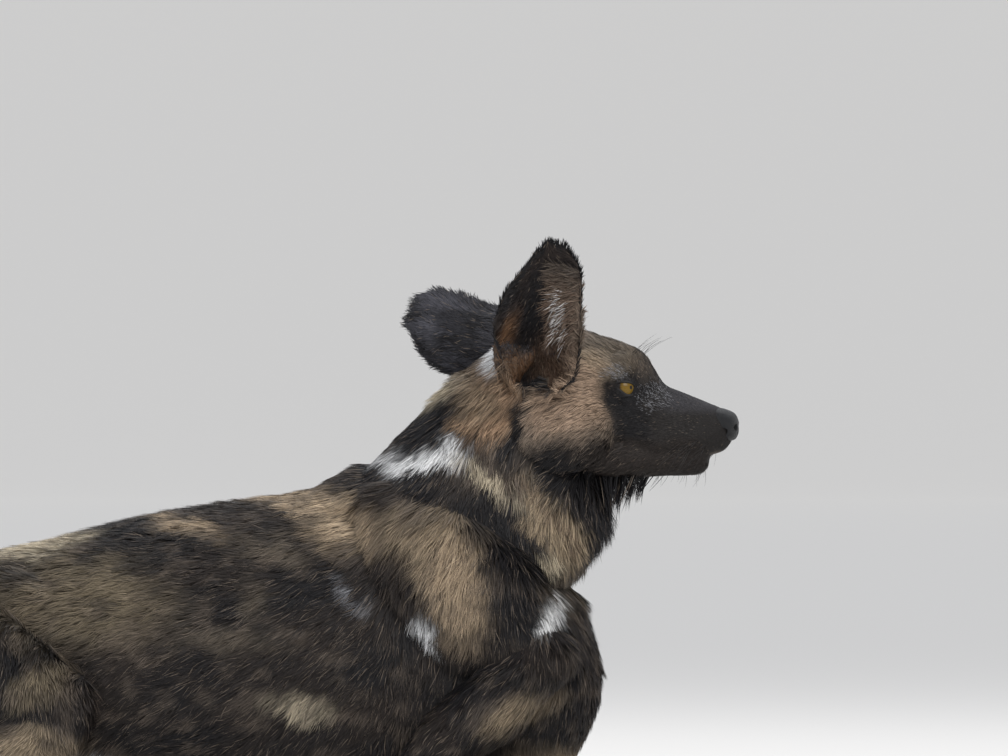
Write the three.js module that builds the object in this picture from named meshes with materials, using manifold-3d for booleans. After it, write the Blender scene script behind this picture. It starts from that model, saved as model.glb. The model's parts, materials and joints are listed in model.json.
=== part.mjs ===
// An adult African wild dog, life size, lying on its chest with its head raised and one ear swept back.
// Millimetres: x towards the nose, y to the dog's left, z up. Everything that lies on the ground is
// flat there, at z = 0. The last lines move the origin under the middle of the whole animal.
import * as THREE from "three";
import { mergeVertices } from "three/addons/utils/BufferGeometryUtils.js";
import Module from "manifold-3d";

const wasm = await Module();
wasm.setup();

// Driving dimensions
const GAP = 0.3; // left between touching pieces
const SIDES = 20; // around the trunk and the head
const LIMB_SIDES = 10;
const HEAD_YAW = -5; // degrees, nose a little to the dog's right
const HALF_MUZZLE = 29;
const HALF_CHEEK = 72;
const HALF_CHEST = 108;
const HALF_LOIN = 94;
const EYE = { x: 125, side: 37, z: 400.5, radius: 11.5 };
const EYE_AIM = [0.74, 0.66, 0.1]; // forwards, outwards, up
const LID_DEPTH = 2.2;
const LID_OPENING = { long: 22, high: 11.5, tilt: 14 };
const EAR = { thick: 4.5, rim: 2.6 };
const ELBOW = { x: -72, side: 112, z: 34 };
const WRIST = { x: 132, side: 104, z: 16 };
const KNEE = { x: -420, side: 126, z: 92 };
const HOCK = { x: -592, side: 122, z: 18 };
const HIND_PAW = { x: -462, side: 148, z: 16 };
const TOES = 4;

// Sections of the trunk, neck and head, each from a point on the upper outline to one on the lower.
// low above 0 makes the lower half the wider one, and square above 2 makes the section boxy.
const TRUNK = [
  { top: [71, 209], bottom: [95, 134], half: 26 },
  { top: [50, 230], bottom: [90, 92], half: 60 },
  { top: [0, 262], bottom: [64, 42], half: 86, low: 0.05 },
  { top: [-60, 299], bottom: [5, 6], half: 98, low: 0.08 },
  { top: [-124, 329], bottom: [-100, -8], half: 103, low: 0.12 },
  { top: [-160, 319], bottom: [-160, -10], half: HALF_CHEST, low: 0.12 },
  { top: [-205, 302], bottom: [-215, -8], half: 111, low: 0.1 },
  { top: [-292, 289], bottom: [-300, -3], half: 112, low: 0.08 },
  { top: [-360, 276], bottom: [-370, 4], half: 108, low: 0.08 },
  { top: [-436, 257], bottom: [-450, 8], half: HALF_LOIN + 4, low: 0.1 },
  { top: [-500, 241], bottom: [-515, 4], half: HALF_LOIN, low: 0.12 },
  { top: [-556, 213], bottom: [-566, 4], half: 84, low: 0.1 },
  { top: [-600, 172], bottom: [-606, 28], half: 60 },
  { top: [-628, 128], bottom: [-628, 74], half: 26 },
];
const NECK = [
  { top: [8, 440], bottom: [78, 352], half: 44 },
  { top: [-38, 420], bottom: [96, 314], half: 66, low: -0.05 },
  { top: [-72, 385], bottom: [100, 276], half: 74 },
  { top: [-102, 354], bottom: [88, 250], half: 82 },
  { top: [-128, 328], bottom: [68, 222], half: 92 },
  { top: [-150, 305], bottom: [40, 180], half: 90 },
];
const SKULL = [
  { top: [223, 370], bottom: [221.5, 349.5], half: 11 },
  { top: [213, 380.5], bottom: [214, 340.5], half: 19, low: 0.1 },
  { top: [196, 388], bottom: [198, 335], half: 24, low: 0.2, square: 2.2 },
  { top: [175, 396.5], bottom: [176, 331], half: HALF_MUZZLE, low: 0.24, square: 2.3 },
  { top: [158, 404], bottom: [158, 329], half: 33, low: 0.26, square: 2.3 },
  { top: [147, 419], bottom: [144, 330], half: 38, low: 0.2, square: 2.2 },
  { top: [136, 434], bottom: [130, 331], half: 43, low: 0.1, square: 2.2 },
  { top: [120, 444], bottom: [114, 334], half: 51, square: 2.3 },
  { top: [98, 451], bottom: [94, 326], half: 62, square: 2.3 },
  { top: [70, 458], bottom: [74, 313], half: 69, low: 0.04 },
  { top: [35, 456], bottom: [55, 312], half: HALF_CHEEK - 2, low: 0.04 },
  { top: [0, 446], bottom: [30, 318], half: 64 },
  { top: [-34, 420], bottom: [5, 330], half: 50 },
  { top: [-50, 396], bottom: [-20, 350], half: 26 },
];
const JAW = [
  { top: [201, 338], bottom: [199, 326], half: 8 },
  { top: [195, 348], bottom: [193, 319], half: 17 },
  { top: [180, 356], bottom: [180, 316.5], half: 24, square: 2.3 },
  { top: [150, 360], bottom: [150, 315.5], half: 31, square: 2.3 },
  { top: [120, 362], bottom: [118, 313], half: 42, square: 2.2 },
  { top: [92, 358], bottom: [92, 315], half: 48 },
];
const NOSE = [
  { top: [227.5, 370], bottom: [228, 361], half: 7 },
  { top: [224.5, 376], bottom: [227, 355], half: 12.5 },
  { top: [218, 379.5], bottom: [223, 350.5], half: 16, square: 2.4 },
  { top: [209, 381.5], bottom: [213, 350], half: 16.5, square: 2.4 },
  { top: [202, 378], bottom: [205, 356], half: 12 },
];
// Two straight cuts part the neck from the trunk and the head from the neck, seen from the side.
const NECK_ROOT_CUT = { back: [-134, 332], front: [60, 224] };
const HEAD_CUT = { back: [-32, 432], front: [82, 300] };
const LOIN_CUT_X = -385;

// Solids from geometry, and the joins and cuts between them

function solid(geometry, matrix = new THREE.Matrix4()) {
  const shape = new THREE.BufferGeometry().setAttribute("position", geometry.getAttribute("position").clone());
  shape.setIndex(geometry.index);
  const merged = mergeVertices(shape.applyMatrix4(matrix), 1e-4);
  const vertProperties = new Float32Array(merged.getAttribute("position").array);
  const triVerts = new Uint32Array(merged.index.array);
  return new wasm.Manifold(new wasm.Mesh({ numProp: 3, vertProperties, triVerts }));
}

const join = (...solids) => solids.reduce((a, b) => a.add(b));

const cut = (whole, ...others) => others.reduce((a, b) => a.subtract(b), whole);

const largest = (whole) => whole.decompose().reduce((a, b) => (b.volume() > a.volume() ? b : a));

// Everything above a cut, or before it if it is upright. A cut is straight when seen from the side.
function beyond({ back, front }, shift) {
  const reach = 3000;
  const along = new THREE.Vector2(front[0] - back[0], front[1] - back[1]).normalize();
  const up = new THREE.Vector2(-along.y, along.x);
  const lift = reach / 2 + shift;
  const place = new THREE.Matrix4().makeBasis(
    new THREE.Vector3(along.x, 0, along.y),
    new THREE.Vector3(0, 1, 0),
    new THREE.Vector3(up.x, 0, up.y),
  );
  place.setPosition(back[0] + up.x * lift, 0, back[1] + up.y * lift);
  return solid(new THREE.BoxGeometry(2 * reach, 2 * reach, reach), place);
}

// Lofts

// Rows of numbers at even steps along smooth curves through the given rows.
function smoothRows(rows, steps) {
  const curves = rows[0].map((_, k) => new THREE.SplineCurve(rows.map((row) => new THREE.Vector2(row[k], 0))));
  return Array.from({ length: steps + 1 }, (_, n) => curves.map((curve) => curve.getPoint(n / steps).x));
}

// A closed surface over rings of equal count, each end drawn to its middle. Seen from the first ring
// towards the last, the points of each ring run anticlockwise.
function loft(rings, matrix) {
  const count = rings[0].length;
  const last = (rings.length - 1) * count;
  const centre = (ring) => ring.reduce((sum, p) => sum.add(p), new THREE.Vector3()).divideScalar(count);
  const points = [...rings.flat(), centre(rings[0]), centre(rings.at(-1))];
  const [firstTip, lastTip] = [points.length - 2, points.length - 1];
  const faces = [];
  for (let i = 0; i < count; i++) {
    const next = (i + 1) % count;
    faces.push(i, next, firstTip, last + next, last + i, lastTip);
    for (let r = 0; r < last; r += count) {
      faces.push(r + next, r + i, r + count + next, r + count + next, r + i, r + count + i);
    }
  }
  return solid(new THREE.BufferGeometry().setFromPoints(points).setIndex(faces), matrix);
}

const power = (v, n) => Math.sign(v) * Math.abs(v) ** (2 / n);

// A point on a section of the trunk, neck or head: at 0 degrees the left side, at 90 the top.
function onSection([topX, topZ, bottomX, bottomZ, half, low, square], degrees, grow = 0) {
  const angle = THREE.MathUtils.degToRad(degrees);
  const [c, s] = [power(Math.cos(angle), square), power(Math.sin(angle), square)];
  const middle = new THREE.Vector3((topX + bottomX) / 2, 0, (topZ + bottomZ) / 2);
  const up = new THREE.Vector3(topX, 0, topZ).sub(middle);
  const tall = up.length();
  const wide = (half + grow) * c * (1 - low * s);
  return middle.addScaledVector(up.divideScalar(tall), (tall + grow) * s).setY(wide);
}

const sectionRow = ({ top, bottom, half, low = 0, square = 2 }) => [...top, ...bottom, half, low, square];

function sectionLoft(sections, steps, { grow = 0, matrix, sides = SIDES } = {}) {
  const rows = smoothRows(sections.map(sectionRow), steps);
  const rings = rows.map((row) => Array.from({ length: sides }, (_, i) => onSection(row, (360 * i) / sides, grow)));
  const outward = rings[0][0].clone().sub(rings.at(-1)[0]).setY(0).setLength(grow);
  rings[0].forEach((p) => p.add(outward));
  rings.at(-1).forEach((p) => p.sub(outward));
  return loft(rings, matrix);
}

// A limb, muscle or lock: rows of [x, y, z, halfWide, halfDeep] with round ends. up sets the deep way.
function limb(rows, { steps = 6, sides = LIMB_SIDES, up = [0, 0, 1], grow = 0, caps = 2, matrix } = {}) {
  const stations = smoothRows(rows, steps);
  const at = stations.map(([x, y, z]) => new THREE.Vector3(x, y, z));
  const upward = new THREE.Vector3(...up);
  const ringAt = (i, slide, scale) => {
    const ahead = at[Math.min(i + 1, steps)].clone().sub(at[Math.max(i - 1, 0)]).normalize();
    const side = new THREE.Vector3().crossVectors(ahead, upward).normalize();
    const lift = new THREE.Vector3().crossVectors(side, ahead);
    const [wide, deep] = stations[i].slice(3).map((r) => (r + grow) * scale);
    const middle = at[i].clone().addScaledVector(ahead, slide);
    return Array.from({ length: sides }, (_, k) => {
      const angle = (2 * Math.PI * k) / sides;
      const p = middle.clone().addScaledVector(side, wide * Math.cos(angle));
      return p.addScaledVector(lift, deep * Math.sin(angle));
    });
  };
  const capRings = (i, way) =>
    Array.from({ length: caps }, (_, k) => {
      const angle = ((caps - k) / (caps + 0.4)) * (Math.PI / 2);
      const radius = Math.min(...stations[i].slice(3)) + grow;
      return ringAt(i, way * radius * Math.sin(angle), Math.cos(angle));
    });
  const body = stations.map((_, i) => ringAt(i, 0, 1));
  return loft([...capRings(0, -1), ...body, ...capRings(steps, 1).reverse()], matrix);
}

function ball([x, y, z], [rx, ry, rz], grow = 0, matrix = new THREE.Matrix4(), around = 10) {
  const place = new THREE.Matrix4().makeTranslation(x, y, z);
  place.scale(new THREE.Vector3(rx + grow, ry + grow, rz + grow));
  return solid(new THREE.SphereGeometry(1, around, Math.round(around * 0.6)), place.premultiply(matrix));
}

// A flat lock of hair: a root sunk in the coat, a bend away from it and a fine tip. lie is the way the
// coat grows, out is away from the skin, and lift is how far the tip stands off.
function lock(root, lie, out, { length, width, lift, depth = 7 }) {
  const way = lie.clone().addScaledVector(out, lift).normalize();
  const at = (far, off) => {
    const p = root.clone().addScaledVector(way, far * length).addScaledVector(lie, off * length);
    return p.addScaledVector(out, far < 0 ? -depth : 0).toArray();
  };
  const rows = [
    [...at(-0.12, 0), 0.42 * width, 2],
    [...at(0.12, 0), 0.5 * width, 2.2],
    [...at(0.45, 0.03), 0.44 * width, 1.8],
    [...at(0.75, 0.12), 0.24 * width, 1.2],
    [...at(0.98, 0.26), 0.05 * width, 0.5],
  ];
  return limb(rows, { steps: 4, sides: 4, caps: 0, up: out.toArray() });
}

// Numbers from 0 to 1 that look drawn at random but come out alike each time.
function seeded(seed) {
  let state = seed;
  return () => {
    state = (state * 16807) % 2147483647;
    return state / 2147483647;
  };
}

const mirrored = (rows, side) => rows.map(([x, y, ...rest]) => [x, y * side, ...rest]);

const HEAD_TURN = new THREE.Matrix4().makeRotationZ(THREE.MathUtils.degToRad(HEAD_YAW));
const onHead = (v) => new THREE.Vector3(...v).applyMatrix4(HEAD_TURN);

// Trunk, neck and head as one form, which the two straight cuts then part

const SIDE_NAMES = { right: -1, left: 1 };

function shoulders(grow) {
  return Object.values(SIDE_NAMES).map((side) => {
    const blade = [
      [-112, 58, 292, 18, 34],
      [-66, 82, 248, 26, 58],
      [-10, 92, 196, 32, 62],
      [34, 84, 150, 34, 44],
    ];
    return limb(mirrored(blade, side), { grow, up: [0.7, 0, 0.7] });
  });
}

function trunkForms(grow) {
  const hips = Object.values(SIDE_NAMES).map((side) =>
    ball([-476, 54 * side, 190], [84, 34, 40], grow),
  );
  return [sectionLoft(TRUNK, 20, { grow }), ...shoulders(grow), ...hips];
}

function headForms(grow) {
  const forms = [sectionLoft(SKULL, 26, { grow, matrix: HEAD_TURN })];
  for (const side of Object.values(SIDE_NAMES)) {
    forms.push(ball([66, 45 * side, 364], [52, 33, 46], grow, HEAD_TURN));
    forms.push(ball([120, 27 * side, 421], [19, 18, 16], grow, HEAD_TURN));
    forms.push(ball([38, 36 * side, 420], [36, 20, 28], grow, HEAD_TURN));
  }
  return forms;
}

const wholeBody = (grow = 0) => join(...trunkForms(grow), ...headForms(grow), sectionLoft(NECK, 10, { grow }));

// Eyes, with lids that stand round them

const eyeMiddle = (side) => [EYE.x, EYE.side * side, EYE.z];

const eyeball = (side, grow = 0) => ball(eyeMiddle(side), Array(3).fill(EYE.radius), grow, HEAD_TURN, 13);

function lidOpening(side) {
  const [long, high] = [LID_OPENING.long / 2, LID_OPENING.high / 2];
  const outline = new THREE.Shape();
  outline.moveTo(-long, 0);
  outline.quadraticCurveTo(0, 2 * high, long, 0);
  outline.quadraticCurveTo(0, -2 * high, -long, 0);
  const prism = new THREE.ExtrudeGeometry(outline, { depth: 30, bevelEnabled: false, curveSegments: 6 });
  const aim = new THREE.Vector3(EYE_AIM[0], EYE_AIM[1] * side, EYE_AIM[2]).normalize();
  const across = new THREE.Vector3(0, 0, 1).cross(aim).normalize();
  const lift = new THREE.Vector3().crossVectors(aim, across);
  const tilt = THREE.MathUtils.degToRad(LID_OPENING.tilt) * side;
  const place = new THREE.Matrix4().makeBasis(across, lift, aim);
  place.multiply(new THREE.Matrix4().makeRotationZ(tilt));
  place.setPosition(...eyeMiddle(side));
  return solid(prism, place.premultiply(HEAD_TURN));
}

const lid = (side) => ball(eyeMiddle(side), Array(3).fill(EYE.radius + LID_DEPTH), 0, HEAD_TURN, 14);

// Nose pad with a nostril on each side, open to the front and along a slit to the side

const noseForm = (grow) => sectionLoft(NOSE, 7, { grow, matrix: HEAD_TURN, sides: 16 });

const jawForm = (grow) => sectionLoft(JAW, 8, { grow, matrix: HEAD_TURN, sides: 16 });

function nosePad() {
  let pad = noseForm();
  for (const side of Object.values(SIDE_NAMES)) {
    const nostril = [
      [230, 7 * side, 363, 3.6, 3.4],
      [221, 10 * side, 362, 3.6, 3],
      [216, 16.5 * side, 359, 1.8, 3],
      [211, 19 * side, 363, 1.2, 1.6],
    ];
    pad = cut(pad, limb(nostril, { steps: 5, sides: 7, caps: 1, matrix: HEAD_TURN }));
  }
  return pad;
}

// Ears: a rounded leaf, given as reaches behind and before its middle line from root to tip, and
// rolled about its length into a cup that closes tighter at the root

const EARS = {
  right: {
    root: [34, -58, 404],
    axis: [0.16, -0.16, 0.98],
    facing: [0.3, -0.94, 0.1],
    length: 138,
    reach: [[20, 28], [31, 38], [38, 41], [42, 41], [40, 41], [35, 40], [25, 38], [13, 33], [0, 19]],
  },
  left: {
    root: [28, 42, 432],
    axis: [-0.95, 0.24, 0.19],
    facing: [0.1, 0.98, -0.1],
    length: 141,
    reach: [[20, 20], [28, 28], [34, 34], [37, 37], [38, 38], [40, 37], [42, 33], [42, 22], [34, -2]],
  },
};
const EAR_ROLL = { root: 125, tip: 40 }; // degrees from the middle line to the margin

const EAR_GRID = { rows: 10, columns: 8 };

function ear({ root, axis, facing, length, reach }) {
  const along = new THREE.Vector3(...axis).normalize();
  const open = new THREE.Vector3(...facing);
  open.addScaledVector(along, -open.dot(along)).normalize();
  const across = new THREE.Vector3().crossVectors(along, open);
  const { rows, columns } = EAR_GRID;
  const fine = 200;
  const reaches = smoothRows(reach, fine);
  const middleSurface = (r, c) => {
    const v = 1 - (1 - r / rows) ** 1.5;
    const u = (2 * c) / columns - 1;
    const half = reaches[Math.round(v * fine)][u < 0 ? 0 : 1];
    const roll = THREE.MathUtils.degToRad(THREE.MathUtils.lerp(EAR_ROLL.root, EAR_ROLL.tip, Math.min(1, v * 1.6)));
    const radius = half / Math.sin(Math.min(roll, Math.PI / 2));
    const p = new THREE.Vector3(...root).addScaledVector(along, v * length);
    p.addScaledVector(across, radius * Math.sin(u * roll));
    return p.addScaledVector(open, radius * (1 - Math.cos(u * roll)) - 6 * v);
  };
  const inward = (r, c) => {
    const du = middleSurface(r, Math.min(c + 1, columns)).sub(middleSurface(r, Math.max(c - 1, 0)));
    const dv = middleSurface(Math.min(r + 1, rows), c).sub(middleSurface(Math.max(r - 1, 0), c));
    return du.cross(dv).normalize();
  };
  const points = [];
  for (const side of [-1, 1]) {
    for (let r = 0; r <= rows; r++) {
      for (let c = 0; c <= columns; c++) {
        const rim = Math.max(Math.abs((2 * c) / columns - 1), r / rows) ** 4;
        const half = THREE.MathUtils.lerp(EAR.thick, EAR.rim, rim) / 2;
        points.push(middleSurface(r, c).addScaledVector(inward(r, c), side * half));
      }
    }
  }
  const faces = [];
  const back = (r, c) => r * (columns + 1) + c;
  const front = (r, c) => back(r + rows + 1, c);
  const quad = (p, q, r, s) => faces.push(p, r, q, p, s, r);
  for (let r = 0; r < rows; r++) {
    for (let c = 0; c < columns; c++) {
      quad(back(r, c), back(r, c + 1), back(r + 1, c + 1), back(r + 1, c));
      faces.push(front(r, c), front(r, c + 1), front(r + 1, c + 1));
      faces.push(front(r, c), front(r + 1, c + 1), front(r + 1, c));
    }
    quad(front(r, 0), back(r, 0), back(r + 1, 0), front(r + 1, 0));
    quad(back(r, columns), front(r, columns), front(r + 1, columns), back(r + 1, columns));
  }
  for (let c = 0; c < columns; c++) {
    quad(back(0, c), front(0, c), front(0, c + 1), back(0, c + 1));
    quad(front(rows, c), back(rows, c), back(rows, c + 1), front(rows, c + 1));
  }
  return solid(new THREE.BufferGeometry().setFromPoints(points).setIndex(faces), HEAD_TURN);
}

// Legs

function foreleg(side, grow = 0) {
  const [elbow, wrist] = [ELBOW, WRIST];
  const upper = [
    [44, 82, 150, 34, 42],
    [14, 98, 112, 32, 42],
    [-34, 108, 72, 28, 34],
    [elbow.x, elbow.side, elbow.z, 22, 26],
  ];
  const lower = [
    [elbow.x + 2, elbow.side + 2, elbow.z - 4, 21, 24],
    [-20, 112, 25, 23, 26],
    [60, 108, 18, 16, 19],
    [wrist.x, wrist.side, wrist.z, 17, 17],
  ];
  return {
    upper: limb(mirrored(upper, side), { grow, up: [0.6, 0, 0.8] }),
    lower: limb(mirrored(lower, side), { grow }),
  };
}

// A paw of four toes with a claw at the tip of each, set forwards from its wrist or hock.
function paw({ x, side: offset, z }, side, length, half, grow = 0) {
  const middle = [
    [x, offset, z, half * 0.72, 17],
    [x + length * 0.3, offset, z - 2, half * 0.86, 17],
    [x + length * 0.62, offset, z - 5, half, 15],
  ];
  const forms = [limb(mirrored(middle, side), { grow, steps: 3, sides: 8, caps: 1 })];
  for (let i = 0; i < TOES; i++) {
    const spread = (i - (TOES - 1) / 2) / ((TOES - 1) / 2);
    const reach = length * (1 - 0.13 * spread * spread);
    const y = (t) => offset + spread * half * (0.56 + 0.16 * t);
    const toe = [
      [x + length * 0.52, y(0), z - 4, half * 0.27, 12],
      [x + length * 0.74, y(0.5), z - 5, half * 0.29, 12],
      [x + reach - 9, y(1), z - 11, half * 0.27, 9],
    ];
    const claw = [
      [x + reach - 8, y(1), z - 9, 3.4, 3.8],
      [x + reach + 3, y(1.1), z - 10.5, 2.4, 2.9],
      [x + reach + 11, y(1.2), z - 15, 1, 1.1],
    ];
    forms.push(limb(mirrored(toe, side), { grow, steps: 2, sides: 6, caps: 1 }));
    forms.push(limb(mirrored(claw, side), { grow, steps: 2, sides: 4, caps: 0 }));
  }
  return join(...forms);
}

function hindleg(side, grow = 0) {
  const thigh = [
    [-560, 62, 176, 34, 46],
    [-530, 92, 140, 42, 74],
    [-474, 112, 112, 38, 70],
    [KNEE.x + 14, KNEE.side - 4, KNEE.z, 28, 44],
  ];
  const shank = [
    [KNEE.x + 2, KNEE.side + 2, KNEE.z - 22, 26, 32],
    [-478, 134, 50, 24, 30],
    [-540, 128, 30, 16, 20],
    [HOCK.x, HOCK.side, HOCK.z, 14, 17],
  ];
  return {
    upper: limb(mirrored(thigh, side), { grow, up: [0.45, 0, 0.9] }),
    lower: limb(mirrored(shank, side), { grow, up: [0.2, 0, 1] }),
  };
}

function hindFoot(side, grow = 0) {
  const bone = [
    [HOCK.x - 8, HOCK.side + 8, 16, 14, 17],
    [HOCK.x + 40, HOCK.side + 20, 15, 14, 16],
    [HIND_PAW.x + 6, HIND_PAW.side, 15, 17, 16],
  ];
  const foot = limb(mirrored(bone, side), { grow, steps: 3, sides: 8, caps: 1 });
  return join(foot, paw(HIND_PAW, side, 88, 27, grow));
}

// Tail: lies on the ground behind and to the right, bushy past its middle

const TAIL_ROOT = [
  [-604, 0, 122, 24, 22],
  [-648, -4, 92, 22, 20],
  [-690, -18, 52, 20, 18],
  [-728, -38, 28, 20, 18],
];
const TAIL_BRUSH = [
  [-724, -36, 29, 22, 20],
  [-770, -68, 30, 33, 27],
  [-812, -112, 30, 38, 29],
  [-842, -164, 26, 32, 25],
  [-856, -214, 14, 16, 12],
];

// Long coat: the ruff down the throat, the tufts behind the chin and the brush of the tail

const RUFF = { rows: 5, across: 6, spread: 60, from: 0.24, to: 0.92, length: 34, width: 15, lift: 0.6 };
const BEARD = { count: 6, from: 97, step: 4.5, z: 321, spread: 24, length: 30, width: 9, lift: 0.25 };
const BRUSH = { rings: 4, around: 5, length: 56, width: 17, lift: 0.3 };

function ruff() {
  const draw = seeded(11);
  const fine = 100;
  const rows = smoothRows(NECK.map(sectionRow), fine);
  const locks = [];
  for (let i = 0; i < RUFF.rows; i++) {
    for (let j = 0; j < RUFF.across; j++) {
      const t = THREE.MathUtils.lerp(RUFF.from, RUFF.to, (i + 0.5 * (j % 2) + 0.3 * draw()) / RUFF.rows);
      const degrees = 270 + RUFF.spread * ((2 * j) / (RUFF.across - 1) - 1) + 6 * (draw() - 0.5);
      const at = Math.min(Math.round(t * fine), fine - 3);
      const root = onSection(rows[at], degrees);
      const lie = onSection(rows[at + 3], degrees).sub(root).normalize();
      const around = onSection(rows[at], degrees + 4).sub(root);
      const out = new THREE.Vector3().crossVectors(lie, around).normalize();
      const edge = 1 - 0.35 * Math.abs(degrees - 270) / RUFF.spread;
      const length = RUFF.length * edge * (0.85 + 0.3 * draw());
      locks.push(lock(root, lie, out, { length, width: RUFF.width, lift: RUFF.lift * edge }));
    }
  }
  return join(...locks);
}

function beard() {
  const draw = seeded(5);
  const tufts = Array.from({ length: BEARD.count }, (_, i) => {
    const side = i % 2 ? 1 : -1;
    const root = onHead([BEARD.from + BEARD.step * i, side * BEARD.spread * draw(), BEARD.z]);
    const lie = onHead([0.3 + 0.4 * draw(), 0, -1]).normalize();
    const length = BEARD.length * (0.8 + 0.4 * draw());
    return lock(root, lie, onHead([0, side, 0]), { ...BEARD, length, depth: 0 });
  });
  return join(...tufts);
}

// The brush's locks lie back along it and stand off a little, longest at the end.
function brush() {
  const draw = seeded(29);
  const stations = smoothRows(TAIL_BRUSH, BRUSH.rings + 1);
  const locks = [];
  for (let i = 0; i < BRUSH.rings; i++) {
    const [x, y, z, wide, deep] = stations[i];
    const middle = new THREE.Vector3(x, y, z);
    const lie = new THREE.Vector3(...stations[i + 1]).sub(middle).normalize();
    const side = new THREE.Vector3().crossVectors(lie, new THREE.Vector3(0, 0, 1)).normalize();
    for (let j = 0; j < BRUSH.around; j++) {
      const angle = Math.PI * ((j + 0.5 * (i % 2)) / (BRUSH.around - 0.5)) + 0.1 * (draw() - 0.5);
      const out = side.clone().multiplyScalar(Math.cos(angle));
      out.add(new THREE.Vector3(0, 0, Math.sin(angle)));
      const root = middle.clone().addScaledVector(side, 0.94 * wide * Math.cos(angle));
      root.z += 0.94 * deep * Math.sin(angle);
      const length = BRUSH.length * (0.85 + 0.3 * draw());
      locks.push(lock(root, lie, out, { length, width: BRUSH.width, lift: BRUSH.lift }));
    }
  }
  return join(...locks);
}

// Nodes

const named = new Map();
const FLOOR = beyond({ back: [0, 0], front: [1, 0] }, 0);

function node(name, whole, color, roughness = 0.85) {
  named.set(name, { whole: largest(whole.intersect(FLOOR)), color, roughness });
}

const body = wholeBody();
const grown = wholeBody(GAP);
const aboveNeckRoot = beyond(NECK_ROOT_CUT, GAP / 2);
const aboveNeckRootGrown = beyond(NECK_ROOT_CUT, -GAP / 2);
const headSide = beyond(HEAD_CUT, GAP / 2);
const headSideGrown = beyond(HEAD_CUT, -GAP / 2);
const trunk = cut(body, aboveNeckRootGrown);
const foreSide = beyond({ back: [LOIN_CUT_X, 1], front: [LOIN_CUT_X, 0] }, GAP / 2);
const foreSideGrown = beyond({ back: [LOIN_CUT_X, 1], front: [LOIN_CUT_X, 0] }, -GAP / 2);

const sides = Object.entries(SIDE_NAMES);
const nose = nosePad();
const noseGrown = noseForm(GAP);
let head = body.intersect(aboveNeckRoot).intersect(headSide);
for (const [, side] of sides) head = cut(join(head, lid(side)), lidOpening(side), eyeball(side, GAP));
head = cut(head, noseGrown);
const jaw = join(cut(jawForm(), grown), cut(beard(), grown));

const COAT = { black: 0x2a2624, tan: 0x9c8265, pale: 0xcfc8bc, skin: 0x1d1b1b, iris: 0xa87414 };
node("head", head, COAT.tan);
node("jaw", jaw, COAT.black);
node("nose", nose, COAT.skin, 0.45);
const neckCore = cut(body.intersect(aboveNeckRoot), headSideGrown);
const besideNeck = join(grown.intersect(headSideGrown), cut(grown, aboveNeckRoot));
node("neck", cut(join(neckCore, cut(ruff(), besideNeck)), jawForm(GAP)), COAT.tan);
node("chest", trunk.intersect(foreSide), COAT.black);
node("loin", cut(trunk, foreSideGrown), COAT.black);
for (const [name, side] of sides) {
  node(`eye_${name}`, eyeball(side), COAT.iris, 0.1);
  node(`ear_${name}`, cut(ear(EARS[name]), grown), COAT.black);
  const [arm, armGrown] = [foreleg(side), foreleg(side, GAP)];
  const frontPaw = paw(WRIST, side, 98, 30);
  node(`foreleg_${name}_upper`, cut(arm.upper, grown), COAT.black);
  node(`foreleg_${name}_lower`, cut(arm.lower, grown, armGrown.upper), COAT.black);
  node(`forepaw_${name}`, cut(frontPaw, armGrown.lower), COAT.pale);
  const [leg, legGrown] = [hindleg(side), hindleg(side, GAP)];
  node(`hindleg_${name}_upper`, cut(leg.upper, grown), COAT.black);
  node(`hindleg_${name}_lower`, cut(leg.lower, grown, legGrown.upper), COAT.tan);
  node(`hindpaw_${name}`, cut(hindFoot(side), grown, legGrown.upper, legGrown.lower), COAT.pale);
}
node("tail_root", cut(limb(TAIL_ROOT, { up: [0, 0, 1] }), grown), COAT.tan);
node("tail_brush", cut(join(limb(TAIL_BRUSH), brush()), limb(TAIL_ROOT, { grow: GAP })), COAT.pale);

// The scene graph, moved so that the origin is on the ground under the middle of the animal

const dog = new THREE.Group();
for (const [name, { whole, color, roughness }] of named) {
  const { vertProperties, triVerts, numProp } = whole.getMesh();
  const count = vertProperties.length / numProp;
  const position = new Float32Array(3 * count);
  for (let i = 0; i < count; i++) {
    position.set(vertProperties.subarray(i * numProp, i * numProp + 3), 3 * i);
  }
  const geometry = new THREE.BufferGeometry();
  geometry.setAttribute("position", new THREE.BufferAttribute(position, 3));
  geometry.setIndex(new THREE.BufferAttribute(triVerts, 1));
  geometry.computeVertexNormals();
  const mesh = new THREE.Mesh(geometry, new THREE.MeshStandardMaterial({ color, roughness, metalness: 0 }));
  mesh.name = name;
  dog.add(mesh);
}
const extent = new THREE.Box3().setFromObject(dog, true);
const middle = extent.getCenter(new THREE.Vector3());
dog.position.set(-middle.x, -middle.y, 0);

export default dog;
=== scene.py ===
# The looks of a life-size African wild dog lying on its chest: one skin, eyes, nose and claws, and a
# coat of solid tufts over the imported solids.
# Lengths are millimetres in the dog's own frame until a mesh is made: x towards the nose, y to its
# left, z up. Head shapes are given before the head's small turn about z.
import json
import math

import bpy
import numpy as np
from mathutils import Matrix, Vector
from mathutils.bvhtree import BVHTree
from mathutils.kdtree import KDTree

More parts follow.
